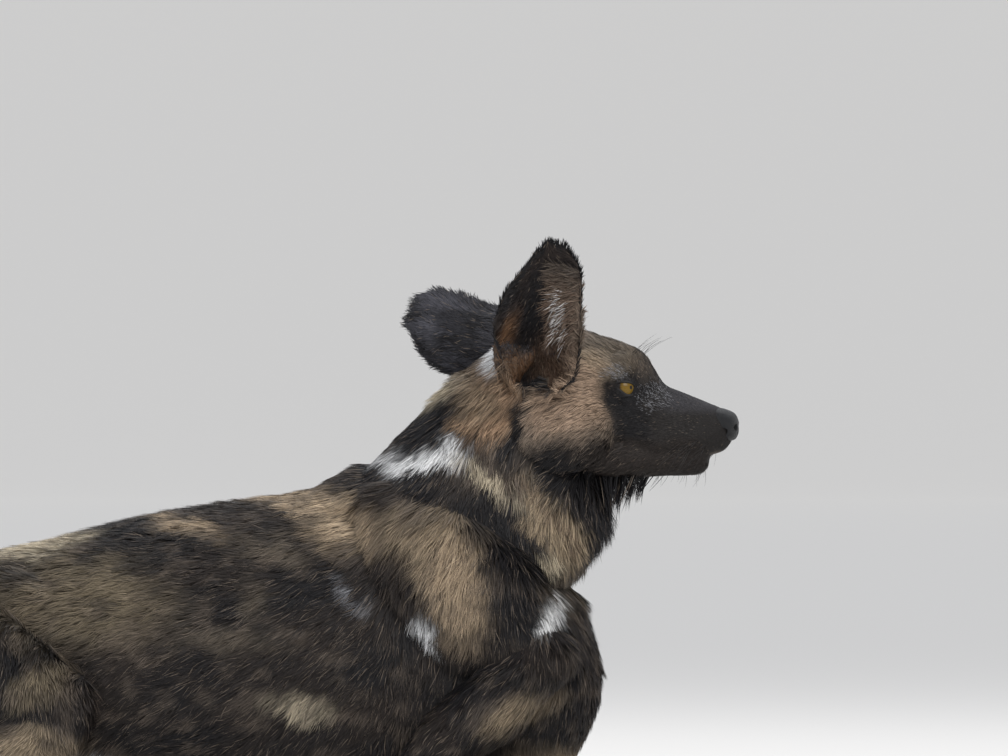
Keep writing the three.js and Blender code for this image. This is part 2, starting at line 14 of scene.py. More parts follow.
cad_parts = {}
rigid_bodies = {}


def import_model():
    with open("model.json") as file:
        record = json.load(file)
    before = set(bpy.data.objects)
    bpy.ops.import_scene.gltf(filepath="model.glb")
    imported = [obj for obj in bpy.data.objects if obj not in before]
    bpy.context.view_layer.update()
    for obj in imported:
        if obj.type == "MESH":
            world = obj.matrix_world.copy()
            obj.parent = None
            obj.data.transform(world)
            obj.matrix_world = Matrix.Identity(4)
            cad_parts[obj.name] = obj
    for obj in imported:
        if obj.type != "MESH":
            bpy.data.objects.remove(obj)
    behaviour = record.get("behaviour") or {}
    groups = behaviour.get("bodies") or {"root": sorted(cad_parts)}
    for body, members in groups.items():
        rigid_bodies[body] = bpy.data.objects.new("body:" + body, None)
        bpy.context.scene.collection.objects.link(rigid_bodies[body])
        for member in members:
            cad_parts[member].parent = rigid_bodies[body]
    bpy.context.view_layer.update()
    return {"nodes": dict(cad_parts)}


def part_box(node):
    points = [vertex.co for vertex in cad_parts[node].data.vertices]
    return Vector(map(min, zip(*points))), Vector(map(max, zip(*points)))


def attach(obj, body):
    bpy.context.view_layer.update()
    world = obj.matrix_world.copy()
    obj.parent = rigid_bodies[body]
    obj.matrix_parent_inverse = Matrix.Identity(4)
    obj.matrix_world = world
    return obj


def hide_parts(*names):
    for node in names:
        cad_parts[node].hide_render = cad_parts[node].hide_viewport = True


for left_over in list(bpy.data.objects):
    bpy.data.objects.remove(left_over)
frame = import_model()

# Named sizes and forms, as in the solids. A row of a section form is the x and z of its top, the x and z
# of its bottom, half its width, how far its widest place drops, and its squareness. A row of a limb is
# x, y and z of its middle, half its width and half its height.
HEAD_YAW = -5
EYE = {"x": 125, "side": 37, "z": 400.5, "radius": 11.5}
EYE_AIM = (0.84, 0.54, 0.04)
LID_AIM = (0.62, 0.78, 0.08)
EYE_BACK = 3.5
EYE_TILT = 9
SIDES = {"right": -1, "left": 1}
VIEW_AZIMUTH = 5.5
PIXEL = 0.96
PHOTO_CENTRE = (504, 378)
PHOTO_WIDTH = 1008
SENSOR = 36
VIEW_HEIGHT = 410
VIEW_DISTANCE = 12000

TRUNK = [
    (71, 209, 95, 134, 26, 0, 2),
    (50, 230, 90, 92, 60, 0, 2),
    (0, 262, 64, 42, 86, 0.05, 2),
    (-60, 299, 5, 6, 98, 0.08, 2),
    (-124, 329, -100, -8, 103, 0.12, 2),
    (-160, 319, -160, -10, 108, 0.12, 2),
    (-205, 302, -215, -8, 111, 0.1, 2),
    (-292, 289, -300, -3, 112, 0.08, 2),
    (-360, 276, -370, 4, 108, 0.08, 2),
    (-436, 257, -450, 8, 98, 0.1, 2),
    (-500, 241, -515, 4, 94, 0.12, 2),
    (-556, 213, -566, 4, 84, 0.1, 2),
    (-600, 172, -606, 28, 60, 0, 2),
    (-628, 128, -628, 74, 26, 0, 2),
]
NECK = [
    (8, 440, 78, 352, 44, 0, 2),
    (-38, 420, 96, 314, 66, -0.05, 2),
    (-72, 385, 100, 276, 74, 0, 2),
    (-102, 354, 88, 250, 82, 0, 2),
    (-128, 328, 68, 222, 92, 0, 2),
    (-150, 305, 40, 180, 90, 0, 2),
]
SKULL = [
    (223, 370, 221.5, 349.5, 11, 0, 2),
    (213, 380.5, 214, 340.5, 19, 0.1, 2),
    (196, 388, 198, 335, 24, 0.2, 2.2),
    (175, 396.5, 176, 331, 29, 0.24, 2.3),
    (158, 404, 158, 329, 33, 0.26, 2.3),
    (147, 419, 144, 330, 38, 0.2, 2.2),
    (136, 434, 130, 331, 43, 0.1, 2.2),
    (120, 444, 114, 334, 51, 0, 2.3),
    (98, 451, 94, 326, 62, 0, 2.3),
    (70, 458, 74, 313, 69, 0.04, 2),
    (35, 456, 55, 312, 70, 0.04, 2),
    (0, 446, 30, 318, 64, 0, 2),
    (-34, 420, 5, 330, 50, 0, 2),
    (-50, 396, -20, 350, 26, 0, 2),
]
JAW = [
    (201, 338, 199, 326, 8, 0, 2),
    (195, 348, 193, 319, 17, 0, 2),
    (180, 356, 180, 316.5, 24, 0, 2.3),
    (150, 360, 150, 315.5, 31, 0, 2.3),
    (120, 362, 118, 313, 42, 0, 2.2),
    (92, 358, 92, 315, 48, 0, 2),
]
NOSE = [
    (227.5, 370, 228, 361, 7, 0, 2),
    (224.5, 376, 227, 355, 12.5, 0, 2),
    (218, 379.5, 223, 350.5, 16, 0, 2.4),
    (209, 381.5, 213, 350, 16.5, 0, 2.4),
    (202, 378, 205, 356, 12, 0, 2),
]
NOSTRIL = [
    (230, 7, 363, 3.6, 3.4),
    (221, 10, 362, 3.6, 3),
    (216, 16.5, 359, 1.8, 3),
    (211, 19, 363, 1.2, 1.6),
]
SHOULDER = [(-112, 58, 292, 18, 34), (-66, 82, 248, 26, 58), (-10, 92, 196, 32, 62), (34, 84, 150, 34, 44)]
UPPER_FORELEG = [
    (44, 82, 150, 34, 42),
    (14, 98, 112, 32, 42),
    (-34, 108, 72, 28, 34),
    (-72, 112, 34, 22, 26),
]
LOWER_FORELEG = [
    (-70, 114, 30, 21, 24),
    (-20, 112, 25, 23, 26),
    (60, 108, 18, 16, 19),
    (132, 104, 16, 17, 17),
]
THIGH = [
    (-560, 62, 176, 34, 46),
    (-530, 92, 140, 42, 74),
    (-474, 112, 112, 38, 70),
    (-406, 122, 92, 28, 44),
]
SHANK = [(-418, 128, 70, 26, 32), (-478, 134, 50, 24, 30), (-540, 128, 30, 16, 20), (-592, 122, 18, 14, 17)]
HIND_BONE = [(-600, 130, 16, 14, 17), (-552, 142, 15, 14, 16), (-456, 148, 15, 17, 16)]
FORE_PAW = {"x": 132, "side": 104, "z": 16, "length": 98, "half": 30}
HIND_PAW = {"x": -462, "side": 148, "z": 16, "length": 88, "half": 27}
TOES = 4
TAIL_ROOT = [
    (-604, 0, 122, 24, 22),
    (-648, -4, 92, 22, 20),
    (-690, -18, 52, 20, 18),
    (-728, -38, 28, 20, 18),
]
TAIL_BRUSH = [
    (-724, -36, 29, 22, 20),
    (-770, -68, 30, 33, 27),
    (-812, -112, 30, 38, 29),
    (-842, -164, 26, 32, 25),
    (-856, -214, 14, 16, 12),
]
# Swellings of the head and hips: centre, then radii
CHEEK = ((66, 45, 364), (52, 33, 46))
BROW = ((120, 27, 421), (19, 18, 16))
EAR_BASE = ((38, 36, 420), (36, 20, 28))
HIP = ((-476, 54, 190), (84, 34, 40))
EARS = {
    "right": {
        "root": (34, -58, 404),
        "axis": (0.16, -0.16, 0.98),
        "facing": (0.3, -0.94, 0.1),
        "length": 138,
        "reach": [(20, 28), (31, 38), (38, 41), (42, 41), (40, 41), (35, 40), (25, 38), (13, 33), (0, 19)],
    },
    "left": {
        "root": (28, 42, 432),
        "axis": (-0.95, 0.24, 0.19),
        "facing": (0.1, 0.98, -0.1),
        "length": 141,
        "reach": [(20, 20), (28, 28), (34, 34), (37, 37), (38, 38), (40, 37), (42, 33), (42, 22), (34, -2)],
    },
}
# An ear's thickness in its middle and at its rim, and how far it is rolled at its root and its tip
EAR_THICK = 4.5
EAR_RIM = 2.6
EAR_ROLL = (125, 40)
EAR_BEND = 1.5
EAR_OPENS = 1.6
EAR_LEAN = 6
EAR_ROWS = 200

FLESH = [n for n in frame["nodes"] if not n.startswith("eye_") and n != "nose"]


# Numbers


def unit(v):
    v = np.asarray(v, float)
    return v / np.maximum(np.linalg.norm(v, axis=-1, keepdims=True), 1e-9)


def smoothstep(low, high, x):
    t = np.clip((x - low) / (high - low), 0, 1)
    return t * t * (3 - 2 * t)


def mix(a, b, t):
    return a + (b - a) * t


def turned(p, degrees):
    a = np.radians(degrees)
    p = np.asarray(p, float)
    c, s = np.cos(a), np.sin(a)
    return np.stack([p[..., 0] * c - p[..., 1] * s, p[..., 0] * s + p[..., 1] * c, p[..., 2]], -1)


def on_head(p):
    return turned(p, HEAD_YAW)


def lattice_noise(p, cell, seed):
    """Smooth noise from -1 to 1 over points, with features about cell across."""
    q = np.asarray(p, float) / cell + 1000.0
    i = np.floor(q).astype(np.int64)
    f = q - i
    f = f * f * (3 - 2 * f)
    total = np.zeros(len(q))
    for corner in range(8):
        o = np.array([corner & 1, corner >> 1 & 1, corner >> 2 & 1])
        n = (i + o) @ np.array([73856093, 19349663, 83492791]) + seed * 6542989
        n = (n ^ (n >> 13)) * 1274126177
        value = ((n ^ (n >> 16)) & 0xFFFF) / 32767.5 - 1
        total += value * np.prod(np.where(o, f, 1 - f), axis=1)
    return total


def spline_rows(rows, steps):
    """Rows at even steps along smooth curves through the given rows."""
    rows = np.array(rows, float)
    last = len(rows) - 1
    t = np.linspace(0, last, steps + 1)
    i = np.minimum(t.astype(int), last - 1)
    w = (t - i)[:, None]
    p0, p1 = rows[np.maximum(i - 1, 0)], rows[i]
    p2, p3 = rows[i + 1], rows[np.minimum(i + 2, last)]
    v0, v1 = (p2 - p0) / 2, (p3 - p1) / 2
    return (2 * (p1 - p2) + v0 + v1) * w**3 + (3 * (p2 - p1) - 2 * v0 - v1) * w**2 + v0 * w + p1


def power(v, n):
    return np.sign(v) * np.abs(v) ** (2 / n)


# Forms


def closed_rings(rings):
    """A closed surface over rings of equal count, with the ends drawn to their middles."""
    rings = np.asarray(rings, float)
    count, around = rings.shape[:2]
    verts = np.vstack([rings.reshape(-1, 3), rings[0].mean(0), rings[-1].mean(0)])
    i = np.arange(around)
    j = (i + 1) % around
    faces = []
    for r in range(count - 1):
        a, b = r * around, (r + 1) * around
        faces.append(np.stack([a + j, a + i, b + j], 1))
        faces.append(np.stack([b + j, a + i, b + i], 1))
    tip, end, last = len(verts) - 2, len(verts) - 1, (count - 1) * around
    faces.append(np.stack([i, j, np.full(around, tip)], 1))
    faces.append(np.stack([last + j, last + i, np.full(around, end)], 1))
    return verts, np.vstack(faces)


def section_form(sections, steps=90, around=96, head=False):
    rows = spline_rows(sections, steps)
    top, bottom = rows[:, 0:2], rows[:, 2:4]
    half, low, square = rows[:, 4:5], rows[:, 5:6], rows[:, 6:7]
    angle = np.linspace(0, 2 * np.pi, around, endpoint=False)[None, :]
    c, s = power(np.cos(angle), square), power(np.sin(angle), square)
    middle, up = (top + bottom) / 2, (top - bottom) / 2
    rings = np.empty((len(rows), around, 3))
    rings[..., 0] = middle[:, :1] + up[:, :1] * s
    rings[..., 1] = half * c * (1 - low * s)
    rings[..., 2] = middle[:, 1:] + up[:, 1:] * s
    return closed_rings(on_head(rings) if head else rings)


def limb_form(rows, side=1, steps=28, around=32, up=(0, 0, 1), caps=6, head=False):
    at = spline_rows(rows, steps)
    at[:, 1] *= side
    centre = at[:, :3]
    step = np.arange(steps + 1)
    ahead = unit(centre[np.minimum(step + 1, steps)] - centre[np.maximum(step - 1, 0)])
    wide = unit(np.cross(ahead, up))
    deep = np.cross(wide, ahead)
    angle = np.linspace(0, 2 * np.pi, around, endpoint=False)[:, None]

    def ring(i, slide, scale):
        middle = centre[i] + ahead[i] * slide
        return middle + scale * (wide[i] * at[i, 3] * np.cos(angle) + deep[i] * at[i, 4] * np.sin(angle))

    def cap(i, way):
        bend = [(caps - k) / (caps + 0.4) * math.pi / 2 for k in range(caps)]
        radius = min(at[i, 3], at[i, 4])
        return [ring(i, way * radius * math.sin(b), math.cos(b)) for b in bend]

    rings = cap(0, -1) + [ring(i, 0, 1) for i in range(steps + 1)] + cap(steps, 1)[::-1]
    return closed_rings(on_head(rings) if head else rings)


def ball_form(centre, radii, side=1, head=False, around=40):
    bend = np.linspace(0, np.pi, around // 2 + 1)[1:-1, None]
    angle = np.linspace(0, 2 * np.pi, around, endpoint=False)[None, :]
    axes = np.sin(bend) * np.cos(angle), np.sin(bend) * np.sin(angle), np.cos(bend)
    shape = np.stack(np.broadcast_arrays(*axes), -1)
    rings = shape * radii + np.array([centre[0], centre[1] * side, centre[2]])
    return closed_rings(on_head(rings) if head else rings)


def paw_forms(paw, side):
    """The pad of a paw, its toes, and the rows of its claws."""
    x, offset, z, length, half = (paw[k] for k in ("x", "side", "z", "length", "half"))
    pad = [
        (x, offset, z, half * 0.72, 17),
        (x + length * 0.3, offset, z - 2, half * 0.86, 17),
        (x + length * 0.62, offset, z - 5, half, 15),
    ]
    forms, claws = [limb_form(pad, side)], []
    for i in range(TOES):
        spread = (i - (TOES - 1) / 2) / ((TOES - 1) / 2)
        reach = length * (1 - 0.13 * spread * spread)
        y = [offset + spread * half * (0.56 + 0.16 * t) for t in (0, 0.5, 1, 1.1, 1.2)]
        toe = [
            (x + length * 0.52, y[0], z - 4, half * 0.27, 12),
            (x + length * 0.74, y[1], z - 5, half * 0.29, 12),
            (x + reach - 9, y[2], z - 11, half * 0.27, 9),
        ]
        claw = [
            (x + reach - 8, y[2], z - 9, 3.4, 3.8),
            (x + reach + 3, y[3], z - 10.5, 2.4, 2.9),
            (x + reach + 11, y[4], z - 15, 1, 1.1),
        ]
        forms.append(limb_form(toe, side))
        claws.append(limb_form(claw, side, steps=10, around=12, caps=2))
    return forms, claws


def ear_surface(spec, v, u):
    """Points of an ear's middle surface. v runs from root to tip, u from -1 to 1 across."""
    along = unit(spec["axis"])
    facing = np.array(spec["facing"], float)
    facing = unit(facing - (facing @ along) * along)
    across = np.cross(along, facing)
    reach = spline_rows(spec["reach"], EAR_ROWS)
    v, u = np.broadcast_arrays(np.asarray(v, float), np.asarray(u, float))
    bent = 1 - (1 - v) ** EAR_BEND
    row = np.clip(np.rint(bent * EAR_ROWS).astype(int), 0, EAR_ROWS)
    half = np.where(u < 0, reach[row, 0], reach[row, 1])
    roll = np.radians(mix(EAR_ROLL[0], EAR_ROLL[1], np.minimum(1, bent * EAR_OPENS)))
    radius = half / np.sin(np.minimum(roll, np.pi / 2))
    p = np.array(spec["root"], float) + along * (bent * spec["length"])[..., None]
    p = p + across * (radius * np.sin(u * roll))[..., None]
    p = p + facing * (radius * (1 - np.cos(u * roll)) - EAR_LEAN * bent)[..., None]
    return on_head(p)


def ear_frame(spec, v, u):
    """The inward normals and the way to the tip at places of an ear's middle surface."""
    step = 0.01
    du = ear_surface(spec, v, u + step) - ear_surface(spec, v, u - step)
    dv = ear_surface(spec, np.minimum(v + step, 1), u) - ear_surface(spec, np.maximum(v - step, 0), u)
    return unit(np.cross(du, dv)), unit(dv)


def ear_form(spec, rows=60, columns=60):
    v, u = np.meshgrid(np.linspace(0, 1, rows + 1), np.linspace(-1, 1, columns + 1), indexing="ij")
    middle = ear_surface(spec, v, u)
    inward, _ = ear_frame(spec, v, np.clip(u, -0.99, 0.99))
    rim = np.maximum(np.abs(u), v) ** 4
    half = (mix(EAR_THICK, EAR_RIM, rim) / 2)[..., None]
    front, back = middle + inward * half, middle - inward * half
    return closed_rings([np.vstack([b, f[::-1]]) for b, f in zip(back, front)])


# Meshes


eye_boxes = [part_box("eye_" + s) for s in SIDES]
eye_mean = np.mean([(np.array(lo) + np.array(hi)) / 2 for lo, hi in eye_boxes], axis=0) * 1000
SHIFT = eye_mean - on_head((EYE["x"], 0, EYE["z"]))
SHIFT[2] = 0


def make_mesh(name, verts, faces):
    mesh = bpy.data.meshes.new(name)
    faces = np.asarray(faces, np.int32)
    mesh.vertices.add(len(verts))
    mesh.vertices.foreach_set("co", ((np.asarray(verts) + SHIFT) / 1000).astype(np.float32).ravel())
    mesh.loops.add(faces.size)
    mesh.loops.foreach_set("vertex_index", faces.ravel())
    mesh.polygons.add(len(faces))
    mesh.polygons.foreach_set("loop_start", np.arange(0, faces.size, faces.shape[1], dtype=np.int32))
    mesh.update(calc_edges=True)
    mesh.polygons.foreach_set("use_smooth", np.full(len(faces), True))
    return mesh


def make_object(name, mesh):
    obj = bpy.data.objects.new(name, mesh)
    bpy.context.scene.collection.objects.link(obj)
    return obj


def tree_of(points):
    tree = KDTree(len(points))
    for i, p in enumerate(points):
        tree.insert(p, i)
    tree.balance()
    return tree


def joined(forms):
    verts, faces, start = [], [], 0
    for v, f in forms:
        verts.append(v)
        faces.append(f + start)
        start += len(v)
    return np.vstack(verts), np.vstack(faces)


def applied(obj):
    """The vertices and triangles of an object after its modifiers. The object is taken away."""
    made = bpy.data.meshes.new_from_object(obj.evaluated_get(bpy.context.evaluated_depsgraph_get()))
    bpy.data.objects.remove(obj)
    return arrays(made)


def arrays(mesh):
    mesh.calc_loop_triangles()
    v = np.empty(len(mesh.vertices) * 3, np.float32)
    mesh.vertices.foreach_get("co", v)
    t = np.empty(len(mesh.loop_triangles) * 3, np.int32)
    mesh.loop_triangles.foreach_get("vertices", t)
    return v.reshape(-1, 3).astype(float) * 1000 - SHIFT, t.reshape(-1, 3)


def vertex_normals(verts, faces):
    a, b, c = (verts[faces[:, k]] for k in range(3))
    n = np.cross(b - a, c - a)
    total = np.zeros_like(verts)
    for k in range(3):
        for axis in range(3):
            total[:, axis] += np.bincount(faces[:, k], n[:, axis], len(verts))
    return unit(total)


def neighbours_mean(values, faces):
    ends = np.vstack([faces[:, [0, 1]], faces[:, [1, 2]], faces[:, [2, 0]]])
    count = np.bincount(ends[:, 0], minlength=len(values)) + np.bincount(ends[:, 1], minlength=len(values))
    total = np.empty_like(values)
    for axis in range(values.shape[1]):
        total[:, axis] = np.bincount(ends[:, 0], values[ends[:, 1], axis], len(values))
        total[:, axis] += np.bincount(ends[:, 1], values[ends[:, 0], axis], len(values))
    return total / np.maximum(count, 1)[:, None]


def smoothed(values, faces, rounds):
    """Values evened out over the mesh, without the shrinking of a plain average."""
    for _ in range(rounds):
        for step in (0.5, -0.52):
            values = values + (neighbours_mean(values, faces) - values) * step
    return values


# Coat: how it lies, how long and how deep it is, and its colours


# Places on the dog's left, mirrored for its right, each with the way the hair lies there, its
# length, how far its tips stand from the skin, and a tuft's width. Head places are before its turn.
LIE = [
    ("face", (214, 0, 381), (-1, 0, 0.3), 2.5, 0.5, 0.7),
    ("face", (205, 22, 360), (-1, 0.1, 0), 3, 0.6, 0.7),
    ("face", (213, 8, 345), (-0.5, 0.1, -0.8), 3.5, 0.7, 0.7),
    ("face", (190, 0, 390), (-1, 0, 0.25), 4, 0.7, 0.8),
    ("face", (185, 27, 362), (-1, 0.1, -0.1), 4.5, 0.8, 0.8),
    ("face", (190, 26, 341), (-0.9, 0.1, -0.5), 5, 0.8, 0.8),
    ("face", (160, 0, 403), (-1, 0, 0.5), 5, 0.9, 0.8),
    ("face", (158, 33, 370), (-1, 0.2, -0.15), 5.5, 1, 0.9),
    ("face", (150, 36, 342), (-0.95, 0.1, -0.4), 6, 1, 0.9),
    ("face", (190, 0, 318), (-0.8, 0, -0.6), 6, 1, 0.8),
    ("face", (190, 20, 326), (-0.95, 0, -0.35), 6, 1, 0.8),
    ("face", (150, 18, 316), (-1, 0, -0.3), 8, 1.4, 0.9),
    ("face", (138, 0, 431), (-0.7, 0, 0.8), 6, 1.2, 0.8),
    ("face", (130, 30, 424), (-0.8, 0.25, 0.5), 6, 1.3, 0.8),
    ("face", (140, 34, 400), (-0.8, 0.3, 0.3), 3.5, 0.7, 0.7),
    ("face", (128, 44, 383), (-0.95, 0.3, -0.25), 5, 1, 0.8),
    ("face", (112, 50, 402), (-1, 0.3, 0.15), 6, 1.4, 0.8),
    ("cheek", (112, 26, 443), (-1, 0.1, 0.3), 9, 2.4, 0.9),
    ("cheek", (98, 48, 425), (-0.95, 0.2, 0.25), 9, 2.2, 0.9),
    ("cheek", (100, 0, 450), (-1, 0, 0.15), 11, 3.2, 0.9),
    ("cheek", (60, 0, 458), (-1, 0, 0), 13, 4, 1),
    ("cheek", (60, 40, 446), (-1, 0.1, 0.2), 12, 3.4, 1),
    ("cheek", (20, 0, 452), (-1, 0, -0.15), 16, 5, 1.1),
    ("cheek", (72, 62, 410), (-1, 0.2, 0.05), 11, 2.8, 1),
    ("cheek", (100, 60, 375), (-0.9, 0.2, -0.45), 13, 2.8, 1),
    ("cheek", (78, 68, 372), (-0.85, 0.1, -0.6), 18, 4, 1.1),
    ("cheek", (46, 72, 372), (-0.75, 0.2, -0.7), 22, 5.5, 1.2),
    ("cheek", (110, 55, 345), (-0.9, 0.1, -0.4), 12, 2.4, 1),
    ("cheek", (70, 62, 332), (-0.8, 0.1, -0.6), 22, 5, 1.2),
    ("cheek", (110, 30, 318), (-0.9, 0, -0.5), 13, 2.5, 1),
    ("neck", (90, 10, 312), (-0.1, 0, -1), 26, 4, 1.2),
    ("neck", (12, 60, 400), (-0.7, 0.3, -0.7), 22, 6, 1.2),
    ("neck", (-20, 30, 428), (-0.85, 0.1, -0.6), 24, 7, 1.3),
    ("neck", (-30, 0, 420), (-0.85, 0, -0.55), 26, 8, 1.3),
    ("neck", (-80, 0, 375), (-0.8, 0, -0.65), 22, 3.5, 1.2),
    ("neck", (-108, 0, 348), (-0.85, 0, -0.5), 17, 2.2, 1.2),
    ("neck", (-30, 62, 385), (-0.6, 0.2, -0.8), 28, 8, 1.4),
    ("neck", (10, 76, 345), (-0.3, 0.2, -1), 28, 8, 1.4),
    ("neck", (-60, 80, 330), (-0.55, 0.2, -0.85), 30, 8, 1.4),
    ("neck", (40, 76, 310), (-0.05, 0.2, -1), 32, 7, 1.4),
    ("neck", (0, 88, 280), (0.05, 0.2, -1), 34, 8, 1.4),
    ("neck", (86, 40, 290), (0.3, 0.1, -1), 34, 6, 1.4),
    ("neck", (98, 0, 290), (0.35, 0, -1), 34, 5, 1.4),
    ("neck", (75, 50, 245), (0.45, 0.1, -1), 34, 6, 1.4),
    ("neck", (84, 0, 240), (0.4, 0, -1), 34, 5, 1.4),
    ("neck", (66, 20, 215), (0.3, 0, -1), 28, 5, 1.4),
    ("trunk", (-134, 0, 327), (-0.95, 0, -0.35), 17, 2.2, 1.3),
    ("trunk", (-100, 50, 315), (-0.8, 0.3, -0.6), 30, 7, 1.5),
    ("trunk", (-70, 88, 270), (-0.45, 0.2, -0.9), 36, 9, 1.5),
    ("trunk", (-10, 98, 235), (-0.1, 0.1, -1), 36, 8, 1.5),
    ("trunk", (-50, 110, 190), (-0.15, 0.1, -1), 38, 9, 1.6),
    ("trunk", (25, 95, 180), (0.15, 0.1, -1), 28, 6, 1.4),
    ("trunk", (75, 40, 195), (0.3, 0, -1), 24, 5, 1.3),
    ("trunk", (90, 0, 150), (0.2, 0, -1), 22, 5, 1.3),
    ("trunk", (70, 50, 100), (-0.2, 0, -1), 20, 4, 1.3),
    ("trunk", (-40, 112, 130), (-0.3, 0.1, -1), 30, 7, 1.5),
    ("trunk", (-200, 0, 305), (-1, 0, -0.1), 26, 7, 1.5),
    ("trunk", (-180, 80, 270), (-0.95, 0.1, -0.35), 28, 7, 1.5),
    ("trunk", (-150, 108, 190), (-0.8, 0.1, -0.6), 28, 7, 1.5),
    ("trunk", (-160, 110, 90), (-0.7, 0, -0.7), 26, 6, 1.5),
    ("trunk", (-300, 0, 289), (-1, 0, -0.08), 25, 7, 1.5),
    ("trunk", (-290, 90, 240), (-1, 0.1, -0.25), 26, 7, 1.5),
    ("trunk", (-280, 112, 140), (-0.9, 0, -0.45), 26, 6.5, 1.5),
    ("trunk", (-280, 100, 50), (-0.9, 0, -0.4), 22, 5, 1.5),
    ("trunk", (-420, 0, 260), (-1, 0, -0.12), 25, 7, 1.5),
    ("trunk", (-410, 80, 200), (-1, 0, -0.3), 25, 6.5, 1.5),
    ("trunk", (-400, 100, 110), (-0.9, 0, -0.5), 24, 6, 1.5),
    ("trunk", (-530, 0, 228), (-0.95, 0, -0.3), 25, 7, 1.5),
    ("trunk", (-520, 60, 205), (-0.9, 0.1, -0.5), 24, 6, 1.5),
    ("trunk", (-600, 20, 160), (-0.5, 0, -0.9), 24, 6, 1.5),
    ("trunk", (-620, 20, 90), (-0.3, 0, -1), 22, 5, 1.5),
    ("legs", (10, 120, 110), (-0.6, 0.1, -0.8), 18, 3.5, 1.3),
    ("legs", (-60, 125, 60), (-0.5, 0.1, -0.8), 13, 2.5, 1.2),
    ("legs", (-50, 130, 25), (0.9, 0, -0.2), 11, 2, 1.2),
    ("legs", (60, 115, 25), (1, 0, -0.1), 9, 1.6, 1.1),
    ("legs", (130, 108, 30), (1, 0, -0.15), 7, 1.3, 1),
    ("legs", (190, 105, 25), (1, 0, -0.4), 5, 1, 0.9),
    ("legs", (222, 105, 10), (0.9, 0, -0.6), 4, 0.8, 0.8),
    ("legs", (-540, 110, 170), (-0.4, 0.1, -0.9), 21, 5, 1.4),
    ("legs", (-480, 140, 130), (-0.2, 0.2, -1), 19, 4, 1.4),
    ("legs", (-415, 140, 100), (0.2, 0.1, -1), 15, 3, 1.3),
    ("legs", (-460, 150, 60), (-0.9, 0.1, -0.5), 12, 2.4, 1.2),
    ("legs", (-540, 145, 35), (-1, 0, -0.2), 10, 2, 1.2),
    ("legs", (-590, 135, 30), (-0.3, 0.1, -1), 8, 1.5, 1.1),
    ("legs", (-540, 150, 20), (1, 0.1, -0.1), 8, 1.4, 1.1),
    ("legs", (-440, 150, 28), (1, 0, -0.2), 6, 1.1, 1),
    ("legs", (-385, 150, 12), (0.9, 0, -0.5), 4, 0.8, 0.9),
]
# The tail lies to the right only, so its places aren't mirrored.
TAIL_LIE = [
    ("tail", (-625, -2, 112), (-0.8, -0.05, -0.6), 24, 5, 1.5),
    ("tail", (-690, -18, 52), (-0.7, -0.3, -0.65), 28, 5, 1.6),
    ("tail", (-728, -38, 34), (-0.8, -0.5, -0.1), 34, 5, 1.7),
    ("tail", (-770, -68, 34), (-0.7, -0.7, 0), 46, 5, 1.8),
    ("tail", (-812, -112, 34), (-0.5, -0.85, 0), 50, 5, 1.8),
    ("tail", (-842, -164, 28), (-0.3, -0.95, -0.05), 42, 4, 1.8),
    ("tail", (-850, -200, 20), (-0.2, -1, 0), 22, 3, 1.6),
    ("tail", (-856, -228, 14), (-0.1, -1, 0), 10, 2, 1.4),
]
REGIONS = ("face", "cheek", "neck", "trunk", "legs", "tail")


# Where the head's turn comes in along the neck, and how far up
TURN_ALONG = (-70, 40)
TURN_UP = (270, 330)
# How the rows above share a place between them: softness in square millimetres, and sharpness
LIE_SOFT = 60
LIE_SHARP = 2.5
AT_ONCE = 40000


def head_share(p):
    return smoothstep(*TURN_ALONG, p[:, 0]) * smoothstep(*TURN_UP, p[:, 2])


def straightened(p):
    """Points with the head's turn taken out."""
    p = np.asarray(p, float)
    return turned(p, -HEAD_YAW * head_share(p))


def lie_of(points):
    """The region, way, length, depth and width of the coat at each point."""
    rows = LIE + TAIL_LIE
    labels = np.array([REGIONS.index(r[0]) for r in rows])
    places = np.array([r[1] for r in rows], float)
    ways = unit(np.array([r[2] for r in rows], float))
    sizes = np.array([r[3:] for r in rows], float)
    own_side = np.arange(len(places)) < len(LIE)
    region = np.empty(len(points), int)
    way = np.empty((len(points), 3))
    size = np.empty((len(points), 3))
    for start in range(0, len(points), AT_ONCE):
        now = slice(start, start + AT_ONCE)
        part = straightened(points[now])
        side = np.where(part[:, 1] < 0, -1.0, 1.0)
        folded = part.copy()
        folded[:, 1] *= side
        to_paired = ((folded[:, None, :] - places[None, own_side]) ** 2).sum(2)
        to_tail = ((part[:, None, :] - places[None, ~own_side]) ** 2).sum(2)
        far = np.hstack([to_paired, to_tail])
        w = 1 / (far + LIE_SOFT) ** LIE_SHARP
        w /= w.sum(1, keepdims=True)
        near = far.argmin(1)
        region[now] = labels[near]
        mean = w @ ways
        mean[:, 1] *= np.where(own_side[near], side, 1)
        way[now] = mean
        size[now] = w @ sizes
    way = turned(way, HEAD_YAW * head_share(points))
    return region, unit(way), size[:, 0], size[:, 1], size[:, 2]


def colour(red, green, blue):
    """A colour as light sees it, from the 0 to 255 values of a screen."""
    c = np.array([red, green, blue]) / 255
    return np.where(c <= 0.04045, c / 12.92, ((c + 0.055) / 1.055) ** 2.4)


BLACK = colour(22, 21, 24)
BROWN_BLACK = colour(42, 36, 33)
GREY_BROWN = colour(98, 89, 77)
OLIVE = colour(124, 112, 92)
TAN = colour(163, 146, 122)
BUFF = colour(180, 160, 134)
GREY_TAN = colour(138, 124, 110)
RUFOUS = colour(172, 142, 114)
CREAM = colour(203, 190, 165)
WHITE = colour(230, 231, 232)
SLATE = colour(88, 88, 96)
PALE_SLATE = colour(146, 147, 152)
PINK_TAN = colour(166, 143, 122)
BROWN = colour(84, 66, 54)
MUZZLE_BLACK = colour(36, 33, 32)
RUFOUS_BROWN = colour(116, 86, 62)

